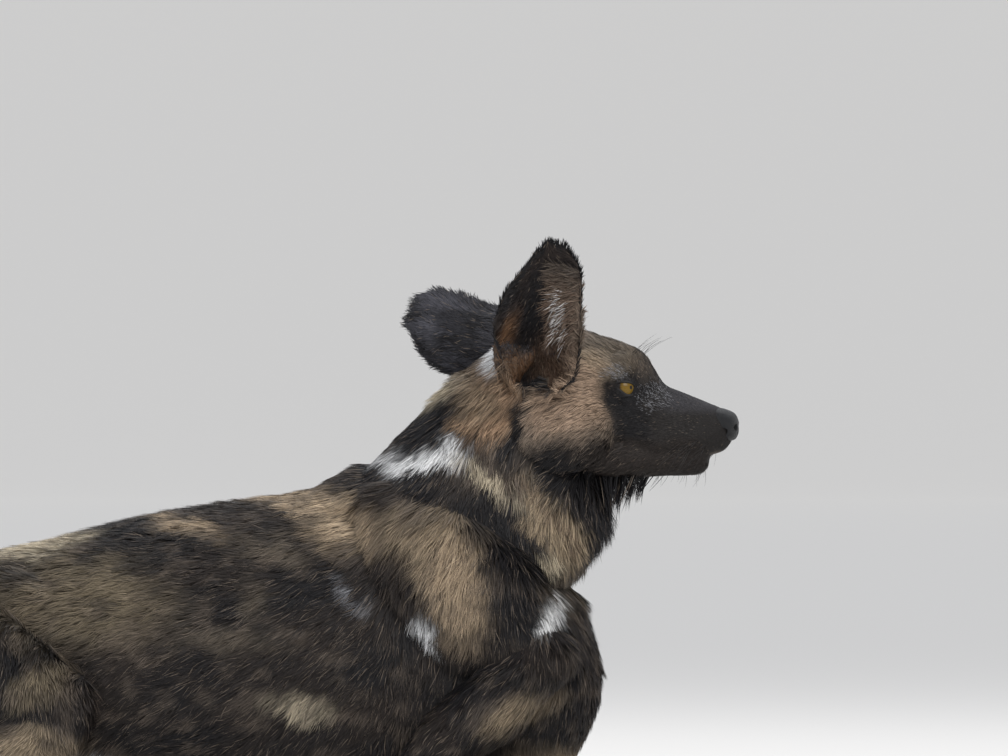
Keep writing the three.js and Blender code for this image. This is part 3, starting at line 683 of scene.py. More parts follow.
# Markings as seen from the side, in the photograph's pixels: middle, half width, half height, the
# tilt of the width above the horizontal, colour, softness of the edge and strength. Later ones lie
# over earlier ones. Those of the head and neck are alike on both sides.
HEAD_MARKS = [
    (575, 372, 44, 26, -20, TAN, 0.5, 0.8),
    (612, 346, 34, 16, -35, GREY_BROWN, 0.5, 0.8),
    (566, 400, 44, 32, 30, PINK_TAN, 0.35, 1),
    (585, 410, 30, 22, 30, PINK_TAN, 0.5, 0.7),
    (700, 428, 92, 60, 0, MUZZLE_BLACK, 0.16, 1),
    (624, 388, 25, 21, 20, BLACK, 0.3, 0.95),
    (625, 425, 22, 40, 15, BLACK, 0.4, 0.9),
    (620, 368, 17, 8, 10, GREY_BROWN, 0.6, 0.8),
    (655, 366, 14, 24, 35, BLACK, 0.5, 0.75),
    (590, 462, 80, 26, 2, BROWN_BLACK, 0.4, 1),
    (655, 462, 60, 22, 0, BROWN_BLACK, 0.3, 0.8),
    (560, 478, 40, 26, -35, BLACK, 0.4, 0.95),
    (511, 428, 12, 42, -8, BLACK, 0.35, 1),
    (548, 364, 20, 16, 0, BROWN, 0.5, 0.9),
    (514, 356, 13, 26, 0, RUFOUS_BROWN, 0.5, 0.9),
    (527, 360, 5, 34, -3, BLACK, 0.5, 1),
    (534, 388, 18, 10, 0, BLACK, 0.4, 1),
    (482, 414, 26, 38, -12, RUFOUS, 0.4, 0.9),
    (470, 400, 22, 26, 30, TAN, 0.5, 0.6),
    (438, 394, 24, 12, 45, CREAM, 0.5, 0.75),
    (428, 432, 44, 17, 40, BLACK, 0.3, 1),
    (470, 450, 22, 14, -40, BLACK, 0.5, 0.7),
    (716, 455, 5, 4, 20, GREY_TAN, 0.6, 0.8),
]
# Between and behind the ears only
NAPE_MARKS = [(494, 352, 9, 30, 8, WHITE, 0.5, 0.95)]
NECK_MARKS = [
    (545, 478, 56, 18, -10, BROWN_BLACK, 0.5, 0.9),
    (496, 525, 46, 30, -40, BLACK, 0.35, 0.95),
    (596, 520, 18, 50, 12, BLACK, 0.5, 0.9),
    (552, 522, 52, 19, -54, TAN, 0.4, 1),
    (547, 561, 15, 6, -36, CREAM, 0.5, 0.85),
    (418, 459, 40, 12, 8, WHITE, 0.3, 1),
    (442, 453, 22, 15, -20, WHITE, 0.35, 1),
    (476, 474, 26, 5, -36, CREAM, 0.6, 0.8),
    (500, 492, 22, 4, -42, CREAM, 0.7, 0.6),
    (562, 530, 26, 4, -60, BROWN, 0.7, 0.7),
    (530, 492, 22, 4, -30, BROWN, 0.7, 0.6),
]
RIGHT_MARKS = [
    (70, 600, 95, 45, 0, OLIVE, 0.6, 0.8),
    (40, 546, 54, 11, 12, CREAM, 0.4, 0.9),
    (105, 598, 46, 18, -8, OLIVE, 0.6, 0.7),
    (18, 580, 30, 16, 20, BLACK, 0.5, 0.7),
    (120, 548, 40, 14, 14, BLACK, 0.4, 0.9),
    (190, 531, 38, 10, -16, BUFF, 0.45, 0.9),
    (215, 575, 50, 20, -10, BROWN_BLACK, 0.5, 0.9),
    (296, 507, 50, 11, -10, BUFF, 0.4, 0.95),
    (342, 527, 44, 24, -28, BUFF, 0.45, 0.95),
    (275, 552, 34, 14, -10, GREY_BROWN, 0.6, 0.7),
    (256, 598, 14, 18, 0, GREY_BROWN, 0.5, 0.8),
    (230, 640, 60, 14, 0, GREY_BROWN, 0.6, 0.6),
    (346, 590, 5, 9, 20, PALE_SLATE, 0.6, 0.8),
    (361, 603, 8, 6, -20, PALE_SLATE, 0.6, 0.7),
    (432, 546, 44, 30, -24, TAN, 0.4, 1),
    (462, 588, 32, 54, 14, BUFF, 0.35, 1),
    (405, 585, 16, 34, 10, BROWN_BLACK, 0.5, 0.8),
    (438, 490, 54, 20, -8, BLACK, 0.3, 1),
    (395, 480, 40, 12, -12, BLACK, 0.4, 0.9),
    (510, 575, 24, 70, 12, BLACK, 0.35, 0.95),
    (424, 629, 7, 13, 10, WHITE, 0.45, 1),
    (562, 592, 22, 26, -20, GREY_BROWN, 0.6, 0.75),
    (548, 560, 15, 8, -32, CREAM, 0.4, 0.95),
    (543, 623, 11, 20, -25, WHITE, 0.4, 1),
    (470, 690, 60, 26, 0, BLACK, 0.5, 0.8),
    (520, 712, 40, 14, 20, TAN, 0.5, 0.8),
    (200, 690, 70, 22, 4, BLACK, 0.5, 0.7),
    (300, 705, 34, 14, -8, CREAM, 0.5, 0.8),
    (-60, 600, 40, 26, 30, TAN, 0.5, 0.9),
    (-10, 660, 36, 22, -20, BLACK, 0.5, 0.9),
    (40, 690, 30, 18, 20, OLIVE, 0.5, 0.85),
    (-50, 680, 20, 26, 10, WHITE, 0.4, 0.9),
]
LEFT_MARKS = [
    (60, 595, 80, 40, 10, GREY_BROWN, 0.6, 0.8),
    (20, 545, 50, 13, 12, TAN, 0.4, 0.9),
    (90, 610, 30, 20, -20, CREAM, 0.5, 0.85),
    (160, 545, 50, 16, -8, BLACK, 0.4, 0.9),
    (210, 560, 40, 20, -24, TAN, 0.4, 0.95),
    (290, 520, 44, 13, -12, BLACK, 0.4, 1),
    (300, 590, 40, 24, 12, OLIVE, 0.5, 0.85),
    (340, 545, 24, 16, 20, WHITE, 0.35, 1),
    (400, 560, 34, 40, -10, TAN, 0.35, 1),
    (380, 620, 20, 14, 0, WHITE, 0.45, 0.9),
    (450, 510, 40, 22, -12, BLACK, 0.35, 1),
    (470, 590, 30, 44, 8, BUFF, 0.35, 1),
    (520, 560, 22, 60, 10, BLACK, 0.35, 0.95),
    (545, 620, 16, 20, 0, WHITE, 0.4, 1),
    (180, 650, 60, 20, 0, TAN, 0.5, 0.7),
    (250, 700, 40, 20, 10, BLACK, 0.5, 0.8),
    (520, 712, 44, 16, 20, CREAM, 0.5, 0.8),
    (-60, 610, 44, 26, 30, BLACK, 0.5, 0.9),
    (-20, 650, 34, 20, -20, TAN, 0.5, 0.9),
    (30, 690, 24, 20, 20, WHITE, 0.4, 0.9),
]
LOW_MARKS = [
    (560, 770, 60, 22, 0, TAN, 0.5, 0.9),
    (500, 775, 26, 18, 0, BLACK, 0.4, 0.9),
    (610, 775, 26, 20, 0, WHITE, 0.35, 1),
    (650, 778, 16, 24, 0, BLACK, 0.4, 0.9),
    (715, 785, 46, 30, 0, WHITE, 0.3, 1),
    (20, 750, 60, 20, 0, TAN, 0.5, 0.85),
    (-60, 770, 40, 20, 0, BLACK, 0.5, 0.9),
    (0, 785, 40, 14, 0, CREAM, 0.4, 0.9),
    (90, 785, 50, 24, 0, WHITE, 0.3, 1),
    (-185, 735, 62, 60, 0, TAN, 0.3, 1),
    (-268, 775, 34, 60, 0, BLACK, 0.3, 1),
    (-360, 785, 66, 60, 0, WHITE, 0.25, 1),
]
# Where light hairs stand among the dark ones: middle, half width, half height, share and colour
FLECKS = [
    (656, 397, 20, 17, 0.5, PALE_SLATE),
    (617, 373, 15, 9, 0.6, PALE_SLATE),
    (640, 368, 14, 12, 0.3, GREY_TAN),
    (672, 440, 60, 34, 0.02, GREY_BROWN),
]


def side_view(points):
    """Where points show in the photograph, as if both sides of the dog faced the camera."""
    q = straightened(points)
    q[:, 1] = np.where(q[:, 0] > -640, -np.abs(q[:, 1]), q[:, 1])
    a = np.radians(VIEW_AZIMUTH - HEAD_YAW * head_share(points))
    across = q[:, 0] * np.cos(a) + q[:, 1] * np.sin(a)
    right, down = across / PIXEL, (VIEW_HEIGHT - q[:, 2]) / PIXEL
    return np.stack([PHOTO_CENTRE[0] + right, PHOTO_CENTRE[1] + down], 1)


def marked(paint, seen, marks, share=1.0):
    for px, py, wide, high, tilt, ink, soft, strength in marks:
        dx, dy = seen[:, 0] - px, py - seen[:, 1]
        c, s = math.cos(math.radians(tilt)), math.sin(math.radians(tilt))
        d = np.hypot((dx * c + dy * s) / wide, (dy * c - dx * s) / high)
        w = (1 - smoothstep(1 - soft, 1 + soft, d)) * strength * share
        paint = mix(paint, ink, w[:, None])
    return paint


# How the edges of the marks wander: size of the bends, reach in pixels, seed
WANDER = [(26, 7, 1), (9, 3.5, 4)]
# Spots over the trunk: size, seed, colour and strength
SPOTS = [(15, 21, BLACK, 0.6), (7, 23, BROWN_BLACK, 0.4), (11, 25, GREY_TAN, 0.2)]
# Patterns over the trunk are drawn out along it
DRAWN = (0.6, 1, 1)
NAPE_HALF = (54, 46)
STRIPE_HALF = 8


def markings(points):
    """The coat's colour at each point, with a painted sheen along the top of the muzzle."""
    seen = side_view(points)
    for cell, reach, seed in WANDER:
        seen[:, 0] += reach * lattice_noise(points, cell, seed)
        seen[:, 1] += reach * lattice_noise(points, cell, seed + 1)
    q = straightened(points)
    across = q[:, 1] + 9 * lattice_noise(points, 18, 8)
    left = smoothstep(-8, 8, across)
    head = head_share(points)[:, None]
    patchy = lattice_noise(points * DRAWN, 34, 12)
    trunk = mix(BLACK, BROWN_BLACK, smoothstep(-0.5, 0.6, patchy)[:, None])
    trunk = marked(trunk, seen, RIGHT_MARKS, 1 - left)
    trunk = marked(trunk, seen, LEFT_MARKS, left)
    trunk = marked(trunk, seen, LOW_MARKS)
    for cell, seed, ink, strength in SPOTS:
        spots = smoothstep(0.1, 0.65, lattice_noise(points * DRAWN, cell, seed))
        trunk = mix(trunk, ink, (strength * spots)[:, None])
    paint = mix(trunk, GREY_TAN, head)
    paint = marked(paint, seen, NECK_MARKS)
    high = smoothstep(-150, -100, q[:, 0]) * smoothstep(250, 290, q[:, 2])
    paint = marked(paint, seen, HEAD_MARKS, high)
    paint = marked(paint, seen, NAPE_MARKS, high * smoothstep(*NAPE_HALF, np.abs(q[:, 1])))
    stripe = np.exp(-((q[:, 1] / STRIPE_HALF) ** 2))
    stripe = stripe * smoothstep(-10, 30, q[:, 0]) * smoothstep(395, 420, q[:, 2])
    paint = mix(paint, BLACK, (0.8 * stripe)[:, None])
    # Painted sheen: the top of the muzzle's bridge is painted part way to slate, standing for light on its
    # dark hair.
    painted_bridge_sheen = smoothstep(150, 170, q[:, 0]) * smoothstep(372, 384, q[:, 2]) * smoothstep(300, 320, q[:, 2])
    return mix(paint, SLATE, (0.3 * painted_bridge_sheen)[:, None])


# The skin: all flesh as one surface, drawn in by the depth of the coat


# The voxels are in metres, and the share kept is that of the triangles away from the face
VOXEL = 0.0023
SKIN_KEPT = 0.36
THIN_LEVELS = 10
EAR_COAT = 0.6
BODY_ROUNDS, LEG_ROUNDS, FACE_ROUNDS = 34, 8, 3
# Where the lower legs, the tail and the fine mesh of the face begin
LEG_UNDER = (95, 60)
LEG_BEYOND = (88, 100)
TAIL_FROM = (-640, -690)
FACE_FROM = (60, 110)
GROUND = 1

# Forms of the face: place on the left, radius, and height above or below the surface
FACE_FORMS = [
    (188, 25, 350, 13, 1.6),
    (174, 27, 378, 9, -1.2),
    (104, 58, 386, 13, 1.8),
    (84, 66, 388, 13, 1.6),
    (143, 31, 390, 8, -1.6),
    (118, 0, 446, 9, -1.6),
    (100, 0, 451, 9, -1.2),
    (128, 38, 417, 8, 1.8),
    (110, 46, 414, 8, 1),
    (150, 0, 412, 10, -1),
]
MOUTH = [
    (207, 15, 338),
    (198, 22, 334),
    (180, 27, 331.5),
    (160, 32, 331),
    (140, 38, 332),
    (120, 44, 336),
    (106, 48, 343),
]
MOUTH_DEEP = 1.5
MOUTH_HALF = 2.2

flesh_forms = [
    section_form(TRUNK),
    section_form(NECK),
    section_form(SKULL, head=True),
    section_form(JAW, head=True, steps=50),
    limb_form(TAIL_ROOT),
    limb_form(TAIL_BRUSH),
]
claw_forms = []
for side in SIDES.values():
    for centre, radii in (CHEEK, BROW, EAR_BASE):
        flesh_forms.append(ball_form(centre, radii, side, head=True))
    flesh_forms.append(ball_form(*HIP, side))
    flesh_forms.append(limb_form(SHOULDER, side, up=(0.7, 0, 0.7)))
    flesh_forms.append(limb_form(UPPER_FORELEG, side, up=(0.6, 0, 0.8)))
    flesh_forms.append(limb_form(LOWER_FORELEG, side))
    flesh_forms.append(limb_form(THIGH, side, up=(0.45, 0, 0.9)))
    flesh_forms.append(limb_form(SHANK, side, up=(0.2, 0, 1)))
    flesh_forms.append(limb_form(HIND_BONE, side))
    for paw in (FORE_PAW, HIND_PAW):
        forms, claws = paw_forms(paw, side)
        flesh_forms += forms
        claw_forms += claws
flesh_forms += [ear_form(spec) for spec in EARS.values()]


def ear_share(points, near=5, far=9, begin=0.12, whole=0.3):
    """1 on the ears, 0 where they end in the head and far from their middle surface."""
    share = np.zeros(len(points))
    v, u = np.meshgrid(np.linspace(0, 1, 41), np.linspace(-1, 1, 41), indexing="ij")
    along = smoothstep(begin, whole, v.ravel())
    for spec in EARS.values():
        surface = ear_surface(spec, v, u).reshape(-1, 3)
        tree = tree_of(surface)
        low, high = surface.min(0) - 8, surface.max(0) + 8
        for i in np.nonzero(((points > low) & (points < high)).all(1))[0]:
            _, found, away = tree.find(points[i])
            share[i] = max(share[i], float(smoothstep(far, near, away)) * float(along[found]))
    return share


def face_height(points):
    """How far the features of the face stand out from its plain form."""
    q = straightened(points)
    q[:, 1] = np.abs(q[:, 1])
    height = np.zeros(len(q))
    near = (q[:, 0] > 60) & (q[:, 2] > 300)
    face = q[near]
    for x, y, z, radius, high in FACE_FORMS:
        height[near] += high * np.exp(-((face - (x, y, z)) ** 2).sum(1) / radius**2)
    line = spline_rows(MOUTH, 60)
    far = np.sqrt(((face[:, None, :] - line[None]) ** 2).sum(2).min(1))
    height[near] -= MOUTH_DEEP * np.exp(-((far / MOUTH_HALF) ** 2))
    return height


def make_skin():
    flesh = make_object("flesh", make_mesh("flesh", *joined(flesh_forms)))
    remesh = flesh.modifiers.new("even", "REMESH")
    remesh.mode = "VOXEL"
    remesh.voxel_size = VOXEL
    verts, faces = applied(flesh)
    ears = ear_share(verts)
    head = head_share(verts)
    soft = smoothed(verts, faces, FACE_ROUNDS)
    limbs = smoothed(soft, faces, LEG_ROUNDS - FACE_ROUNDS)
    even = smoothed(limbs, faces, BODY_ROUNDS - LEG_ROUNDS)
    low = smoothstep(*LEG_UNDER, verts[:, 2]) * smoothstep(*LEG_BEYOND, np.abs(verts[:, 1]))
    even = mix(even, limbs, np.maximum(low, smoothstep(*TAIL_FROM, verts[:, 0]))[:, None])
    verts = mix(even, soft, np.maximum(ears, head)[:, None])
    verts = mix(verts, smoothed(verts, faces, 2), ears[:, None])
    normals = unit(neighbours_mean(neighbours_mean(vertex_normals(verts, faces), faces), faces))
    _, _, _, depth, _ = lie_of(verts)
    depth = mix(depth, EAR_COAT, ears)
    verts = verts + normals * (face_height(verts) - depth)[:, None]
    verts = smoothed(verts, faces, 2)
    verts[:, 2] = np.maximum(verts[:, 2], GROUND)
    fine = smoothstep(0.2, 0.8, head) * smoothstep(*FACE_FROM, verts[:, 0])
    return verts, faces, np.maximum(ears, fine)


def thinned(verts, faces, fine):
    """The mesh with fewer triangles where it isn't fine."""
    obj = make_object("thinned", make_mesh("thinned", verts, faces))
    group = obj.vertex_groups.new(name="thin")
    level = np.rint((1 - fine) * THIN_LEVELS).astype(int)
    for value in range(1, THIN_LEVELS + 1):
        group.add(np.nonzero(level == value)[0].tolist(), value / THIN_LEVELS, "REPLACE")
    m = obj.modifiers.new("thin", "DECIMATE")
    m.ratio = SKIN_KEPT
    m.vertex_group = "thin"
    m.vertex_group_factor = 1
    return applied(obj)


skin_verts, skin_faces = thinned(*make_skin())

# Materials


FUR_NOISE = 900
FUR_DARKEST, FUR_LIGHTEST = 0.75, 1.2
FUR_SHINE = 0.28


def fur_material(name, rough, shade=1.0):
    """Takes its colour from the markings kept on the mesh."""
    material = bpy.data.materials.new(name)
    material.use_nodes = True
    nodes, links = material.node_tree.nodes, material.node_tree.links
    shader = nodes["Principled BSDF"]
    marks = nodes.new("ShaderNodeAttribute")
    marks.attribute_name = "Marks"
    noise = nodes.new("ShaderNodeTexNoise")
    noise.inputs["Scale"].default_value = FUR_NOISE
    noise.inputs["Detail"].default_value = 3
    level = nodes.new("ShaderNodeMapRange")
    level.inputs["To Min"].default_value = FUR_DARKEST * shade
    level.inputs["To Max"].default_value = FUR_LIGHTEST * shade
    tint = nodes.new("ShaderNodeVectorMath")
    tint.operation = "SCALE"
    links.new(noise.outputs["Fac"], level.inputs["Value"])
    links.new(marks.outputs["Color"], tint.inputs[0])
    links.new(level.outputs["Result"], tint.inputs["Scale"])
    links.new(tint.outputs["Vector"], shader.inputs["Base Color"])
    shader.inputs["Roughness"].default_value = rough
    shader.inputs["Specular IOR Level"].default_value = FUR_SHINE
    return material


def paint_marks(mesh, paint):
    attribute = mesh.color_attributes.new("Marks", "FLOAT_COLOR", "POINT")
    rgba = np.ones((len(paint), 4), np.float32)
    rgba[:, :3] = np.clip(paint, 0, 1)
    attribute.data.foreach_set("color", rgba.ravel())


coat_material = fur_material("coat", 0.6)
skin_material = fur_material("skin", 0.8, 0.6)

skin = make_object("skin", make_mesh("skin", skin_verts, skin_faces))
skin.data.materials.append(skin_material)
skin_dark = ear_share(skin_verts, begin=0.1, whole=0.3)[:, None]
paint_marks(skin.data, mix(markings(skin_verts), BROWN_BLACK, skin_dark))
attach(skin, "root")
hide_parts(*FLESH)

# Tufts


# A tuft's root below the skin, its colour there, and where along it the root's shadow ends
ROOT_SINK = 0.4
ROOT_SHADE = 0.45
SHADE_ENDS = 0.4
# How the lie wanders: size of the eddies, their share and seed
EDDIES = [(22, 1, 61), (8, 0.7, 62)]
# One tuft in so many draws its neighbours together, by no more than a share of their length
CLUMP_OF = 9
CLUMP_REACH = 0.35
ROLL = 0.35
TIP_WIDTH = 0.06
# A tuft's patch on the OFBake map, as half a width and a length
PATCH_HALF, PATCH = 0.0015, 0.003
COAT_GROUND = 0.5


def clumped(root, tips, length, clump, rng):
    """How far each tip is drawn towards that of the nearest leading tuft."""
    leaders = rng.choice(len(root), max(1, len(root) // CLUMP_OF), replace=False)
    tree = tree_of(root[leaders])
    nearest = np.array([tree.find(p)[1] for p in root])
    pull = (tips[leaders[nearest]] - tips) * clump
    far = np.maximum(np.linalg.norm(pull, axis=1), 1e-6)
    return pull * np.minimum(1, CLUMP_REACH * length / far)[:, None]


def tufts(
    name, root, normal, way, length, width, depth, paint, tip_paint, uv, rng,
    stations=(0, 0.4, 0.75, 1), jitter=0.16, clump=0.4, sway=0.12, stray=0.3,
):
    """A mesh of thin tapered tufts that leave the skin along the lie of the coat.

    Stations are the places along a tuft where it has corners, from root to tip."""
    n = len(root)
    way = unit(way - (way * normal).sum(1, keepdims=True) * normal)
    side = np.cross(normal, way)
    (wide_cell, wide_share, wide_seed), (cell, share, seed) = EDDIES
    eddy = wide_share * lattice_noise(root, wide_cell, wide_seed) + share * lattice_noise(root, cell, seed)
    turn = (rng.normal(0, jitter, n) + stray * eddy)[:, None]
    way, side = way * np.cos(turn) + side * np.sin(turn), side * np.cos(turn) - way * np.sin(turn)
    length = length * rng.uniform(0.75, 1.2, n)
    rise = np.clip(depth / length * rng.uniform(0.7, 1.35, n), 0.03, 0.95)
    swing = rng.normal(0, sway, n)
    roll = rng.normal(0, ROLL, n)
    flat = side * np.cos(roll)[:, None] + normal * np.sin(roll)[:, None]
    out = np.sqrt(1 - rise**2)

    def at(t):
        up = rise * (1.5 * t - 0.5 * t * t)
        bow = way * (out * t)[:, None] + normal * up[:, None] + side * (swing * t * t)[:, None]
        return root - normal * ROOT_SINK + length[:, None] * bow

    tips = at(1.0)
    pull = clumped(root, tips, length, clump, rng) if clump else np.zeros_like(tips)
    verts, inks = [], []
    for t in stations:
        middle = at(np.full(n, t)) + pull * t**1.6
        if t < SHADE_ENDS:
            ink = mix(paint * ROOT_SHADE, paint, t / SHADE_ENDS)
        else:
            ink = mix(paint, tip_paint, (t - SHADE_ENDS) / (1 - SHADE_ENDS))
        if t == 1:
            verts.append(middle)
            inks.append(ink)
        else:
            wide = (0.5 * (1 - t**2.2) + TIP_WIDTH) * width
            verts += [middle - flat * wide[:, None], middle + flat * wide[:, None]]
            inks += [ink, ink]
    k = len(verts)
    points = np.stack(verts, 1).reshape(-1, 3)
    points[:, 2] = np.maximum(points[:, 2], COAT_GROUND)
    base = np.arange(n)[:, None] * k
    pattern = []
    for j in range(0, k - 3, 2):
        pattern += [(j, j + 1, j + 3), (j, j + 3, j + 2)]
    pattern.append((k - 3, k - 2, k - 1))
    faces = (base[:, None, :] + np.array(pattern)[None]).reshape(-1, 3)
    mesh = make_mesh(name, points, faces)
    mesh.materials.append(coat_material)
    paint_marks(mesh, np.stack(inks, 1).reshape(-1, 3))
    patch = np.zeros((k, 2))
    patch[:, 0] = [PATCH_HALF * (0 if j == k - 1 else (-1) ** j) for j in range(k)]
    patch[:, 1] = [PATCH * (j // 2) / (k // 2) for j in range(k)]
    spread = (uv[:, None, :] * 0.98 + 0.01 + patch[None]).reshape(-1, 2)
    layer = mesh.uv_layers.new(name="OFBake")
    layer.data.foreach_set("uv", spread[faces.ravel()].astype(np.float32).ravel())
    obj = make_object(name, mesh)
    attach(obj, "root")


def flecked(root, paint, rng):
    """The paint of tufts with light hairs among them where the flecks are."""
    seen = side_view(root)
    for px, py, wide, high, share, ink in FLECKS:
        near = 1 - smoothstep(0.4, 1.2, np.hypot((seen[:, 0] - px) / wide, (seen[:, 1] - py) / high))
        chosen = rng.random(len(paint)) < share * near
        paint = np.where(chosen[:, None], mix(paint, ink, rng.uniform(0.3, 1, len(paint))[:, None]), paint)
    return paint


def grizzled(paint, rng, light_hairs=0.07):
    """Root and tip colours of tufts: no two hairs alike, some of each colour among the other. Tips that
    aren't dark carry a painted highlight.
    """
    n = len(paint)
    light = paint.mean(1)
    paint = paint * rng.lognormal(0, 0.16, n)[:, None]
    pale = smoothstep(0.06, 0.2, light)
    dark_hair = (rng.random(n) < 0.1 * pale)[:, None]
    light_hair = (rng.random(n) < light_hairs * (1 - pale))[:, None]
    paint = np.where(dark_hair, mix(paint, BLACK, 0.7), paint)
    paint = np.where(light_hair, mix(paint, GREY_TAN, 0.5), paint)
    dark_tip = (rng.random(n) < 0.33 * pale * (light < 0.45))[:, None]
    # Tips that aren't dark are painted lighter: a painted highlight on the ends of the hair.
    tip = np.where(dark_tip, mix(paint, BLACK, 0.6), paint * 1.18)
    return np.clip(paint, 0, 0.9), np.clip(tip, 0, 0.95)


face_a, face_b, face_c = (skin_verts[skin_faces[:, k]] for k in range(3))
face_area = np.linalg.norm(np.cross(face_b - face_a, face_c - face_a), axis=1) / 200
face_middle = (face_a + face_b + face_c) / 3
face_region = lie_of(face_middle)[0]
skin_normals = vertex_normals(skin_verts, skin_faces)
face_ear = ear_share(face_middle, 3.4, 4.6, -0.2, -0.1)


def scattered(chosen, density, rng):
    """Roots spread over the chosen faces of the skin, density to the square centimetre."""
    weight = np.where(chosen, face_area * density, 0)
    total = np.cumsum(weight)
    count = int(total[-1])
    picked = np.searchsorted(total, (np.arange(count) + rng.random(count)) / count * total[-1])
    picked = np.minimum(picked, len(weight) - 1)
    r1, r2 = np.sqrt(rng.random(count))[:, None], rng.random(count)[:, None]
    w = np.hstack([1 - r1, r1 * (1 - r2), r1 * r2])
    corners = skin_faces[picked]
    root = (skin_verts[corners] * w[:, :, None]).sum(1)
    normal = unit((skin_normals[corners] * w[:, :, None]).sum(1))
    return root, normal


def unwrapped(points, region):
    """Each point's place on a roll-out of its part of the skin, round the part and along it."""
    q = straightened(points)
    if region in ("face", "cheek"):
        around, along = np.arctan2(q[:, 1], q[:, 2] - 375), q[:, 0]
    elif region == "neck":
        around, along = np.arctan2(q[:, 1], q[:, 0] - 0.35 * (300 - q[:, 2])), q[:, 2]
    elif region == "trunk":
        around, along = np.arctan2(q[:, 1], q[:, 2] - 130), q[:, 0]
    elif region == "tail":
        around, along = np.arctan2(q[:, 1] + 0.3 * (q[:, 0] + 600), q[:, 2] - 30), q[:, 0] + 0.5 * q[:, 1]
    else:
        leg = (q[:, 1] > 0) * 2 + (q[:, 0] > -250)
        around = np.arctan2(np.abs(q[:, 1]) - 118, q[:, 2] - 40) + leg * 2 * np.pi
        along = np.where(q[:, 0] > -250, q[:, 0], q[:, 0] + 400)
    uv = np.stack([around, along], 1)
    return (uv - uv.min(0)) / np.maximum(np.ptp(uv, axis=0), 1e-6)


# Tufts to the square centimetre, and a tuft's width as a share of that of the lie
DENSITY = {"face": 110, "cheek": 62, "neck": 46, "trunk": 33, "legs": 25, "tail": 30}
FINENESS = {"face": 0.56, "cheek": 0.6, "neck": 0.58, "trunk": 0.52, "legs": 0.6, "tail": 0.65}


SHORT = ("face", "legs")
# Where the throat's hair stands further out, by up to a share of its depth: along and up
THROAT_ALONG, THROAT_UP, THROAT_STAND = (30, 75), (205, 240), 1.5


def coat_pieces():
    x, right = face_middle[:, 0], face_middle[:, 1] < 0
    everywhere = np.ones(len(right), bool)
    pieces = [
        ("face", "face", everywhere, 1),
        ("cheek_right", "cheek", right, 1.15),
        ("cheek_left", "cheek", ~right, 0.9),
        ("neck_right", "neck", right, 1.2),
        ("neck_left", "neck", ~right, 0.8),
        ("shoulder_right", "trunk", right & (x > -130), 1.9),
        ("trunk_right", "trunk", right & (x <= -130) & (x > -370), 1.6),
        ("rump_right", "trunk", right & (x <= -370), 1.2),
        ("trunk_left", "trunk", ~right, 0.8),
        ("legs_right", "legs", right, 1),
        ("legs_left", "legs", ~right, 0.9),
        ("tail", "tail", everywhere, 1),
    ]
    for seed, (name, region, side, more) in enumerate(pieces):
        rng = np.random.default_rng(100 + seed)
        chosen = (face_region == REGIONS.index(region)) & side & (face_ear < 0.5)
        root, normal = scattered(chosen, DENSITY[region] * more, rng)
        _, way, length, depth, width = lie_of(root)
        paint = markings(root + way * (length * 0.6)[:, None])
        if region == "face":
            paint = flecked(root, paint, rng)
        paint, tip = grizzled(paint, rng, 0.01 if region == "face" else 0.06)
        stations = (0, 0.4, 0.75, 1) if region in ("cheek", "neck") else (0, 0.55, 1)
        throat = smoothstep(*THROAT_ALONG, root[:, 0])
        throat = throat * smoothstep(*THROAT_UP, root[:, 2]) * (region == "neck")
        stand = depth * (1 + THROAT_STAND * throat * rng.random(len(root)))
        jitter, clump = (0.12, 0.25) if region in SHORT else (0.16, 0.55)
        tufts(
            "coat_" + name, root, normal, way, length, FINENESS[region] * width, stand, paint, tip,
            unwrapped(root, region), rng, stations, jitter=jitter, clump=clump,
        )


# Ears


# Loose tufts start this far from an ear and settle on its skin
EAR_SETTLE = 7
EAR_DENSITY = 72
EAR_TUFTS = {"rim": 1500, "long": 1700, "brow": 1500}
# Hair at the foot of each ear's edge: tufts, their shortest and longest, way from the edge to their
# roots, way out of the head, and lie
EAR_FOOT = {
    "right": (1400, (13, 21), (0.95, 0, -0.3), (0.1, -1, 0.1), (-1, -0.1, 0.5)),
    "left": (900, (9, 14), (0.45, 0.1, -0.9), (0.1, 1, 0.15), (-0.55, 0.5, 0.75)),
}


def ear_place(points, spec):
    """How far up an ear and across it the nearest places of its middle surface are."""
    v, u = np.meshgrid(np.linspace(0, 1, 81), np.linspace(-1, 1, 81), indexing="ij")
    surface = ear_surface(spec, v, u).reshape(-1, 3)
    tree = tree_of(surface)
    found = np.array([tree.find(p)[1] for p in points])
    return v.ravel()[found], u.ravel()[found]


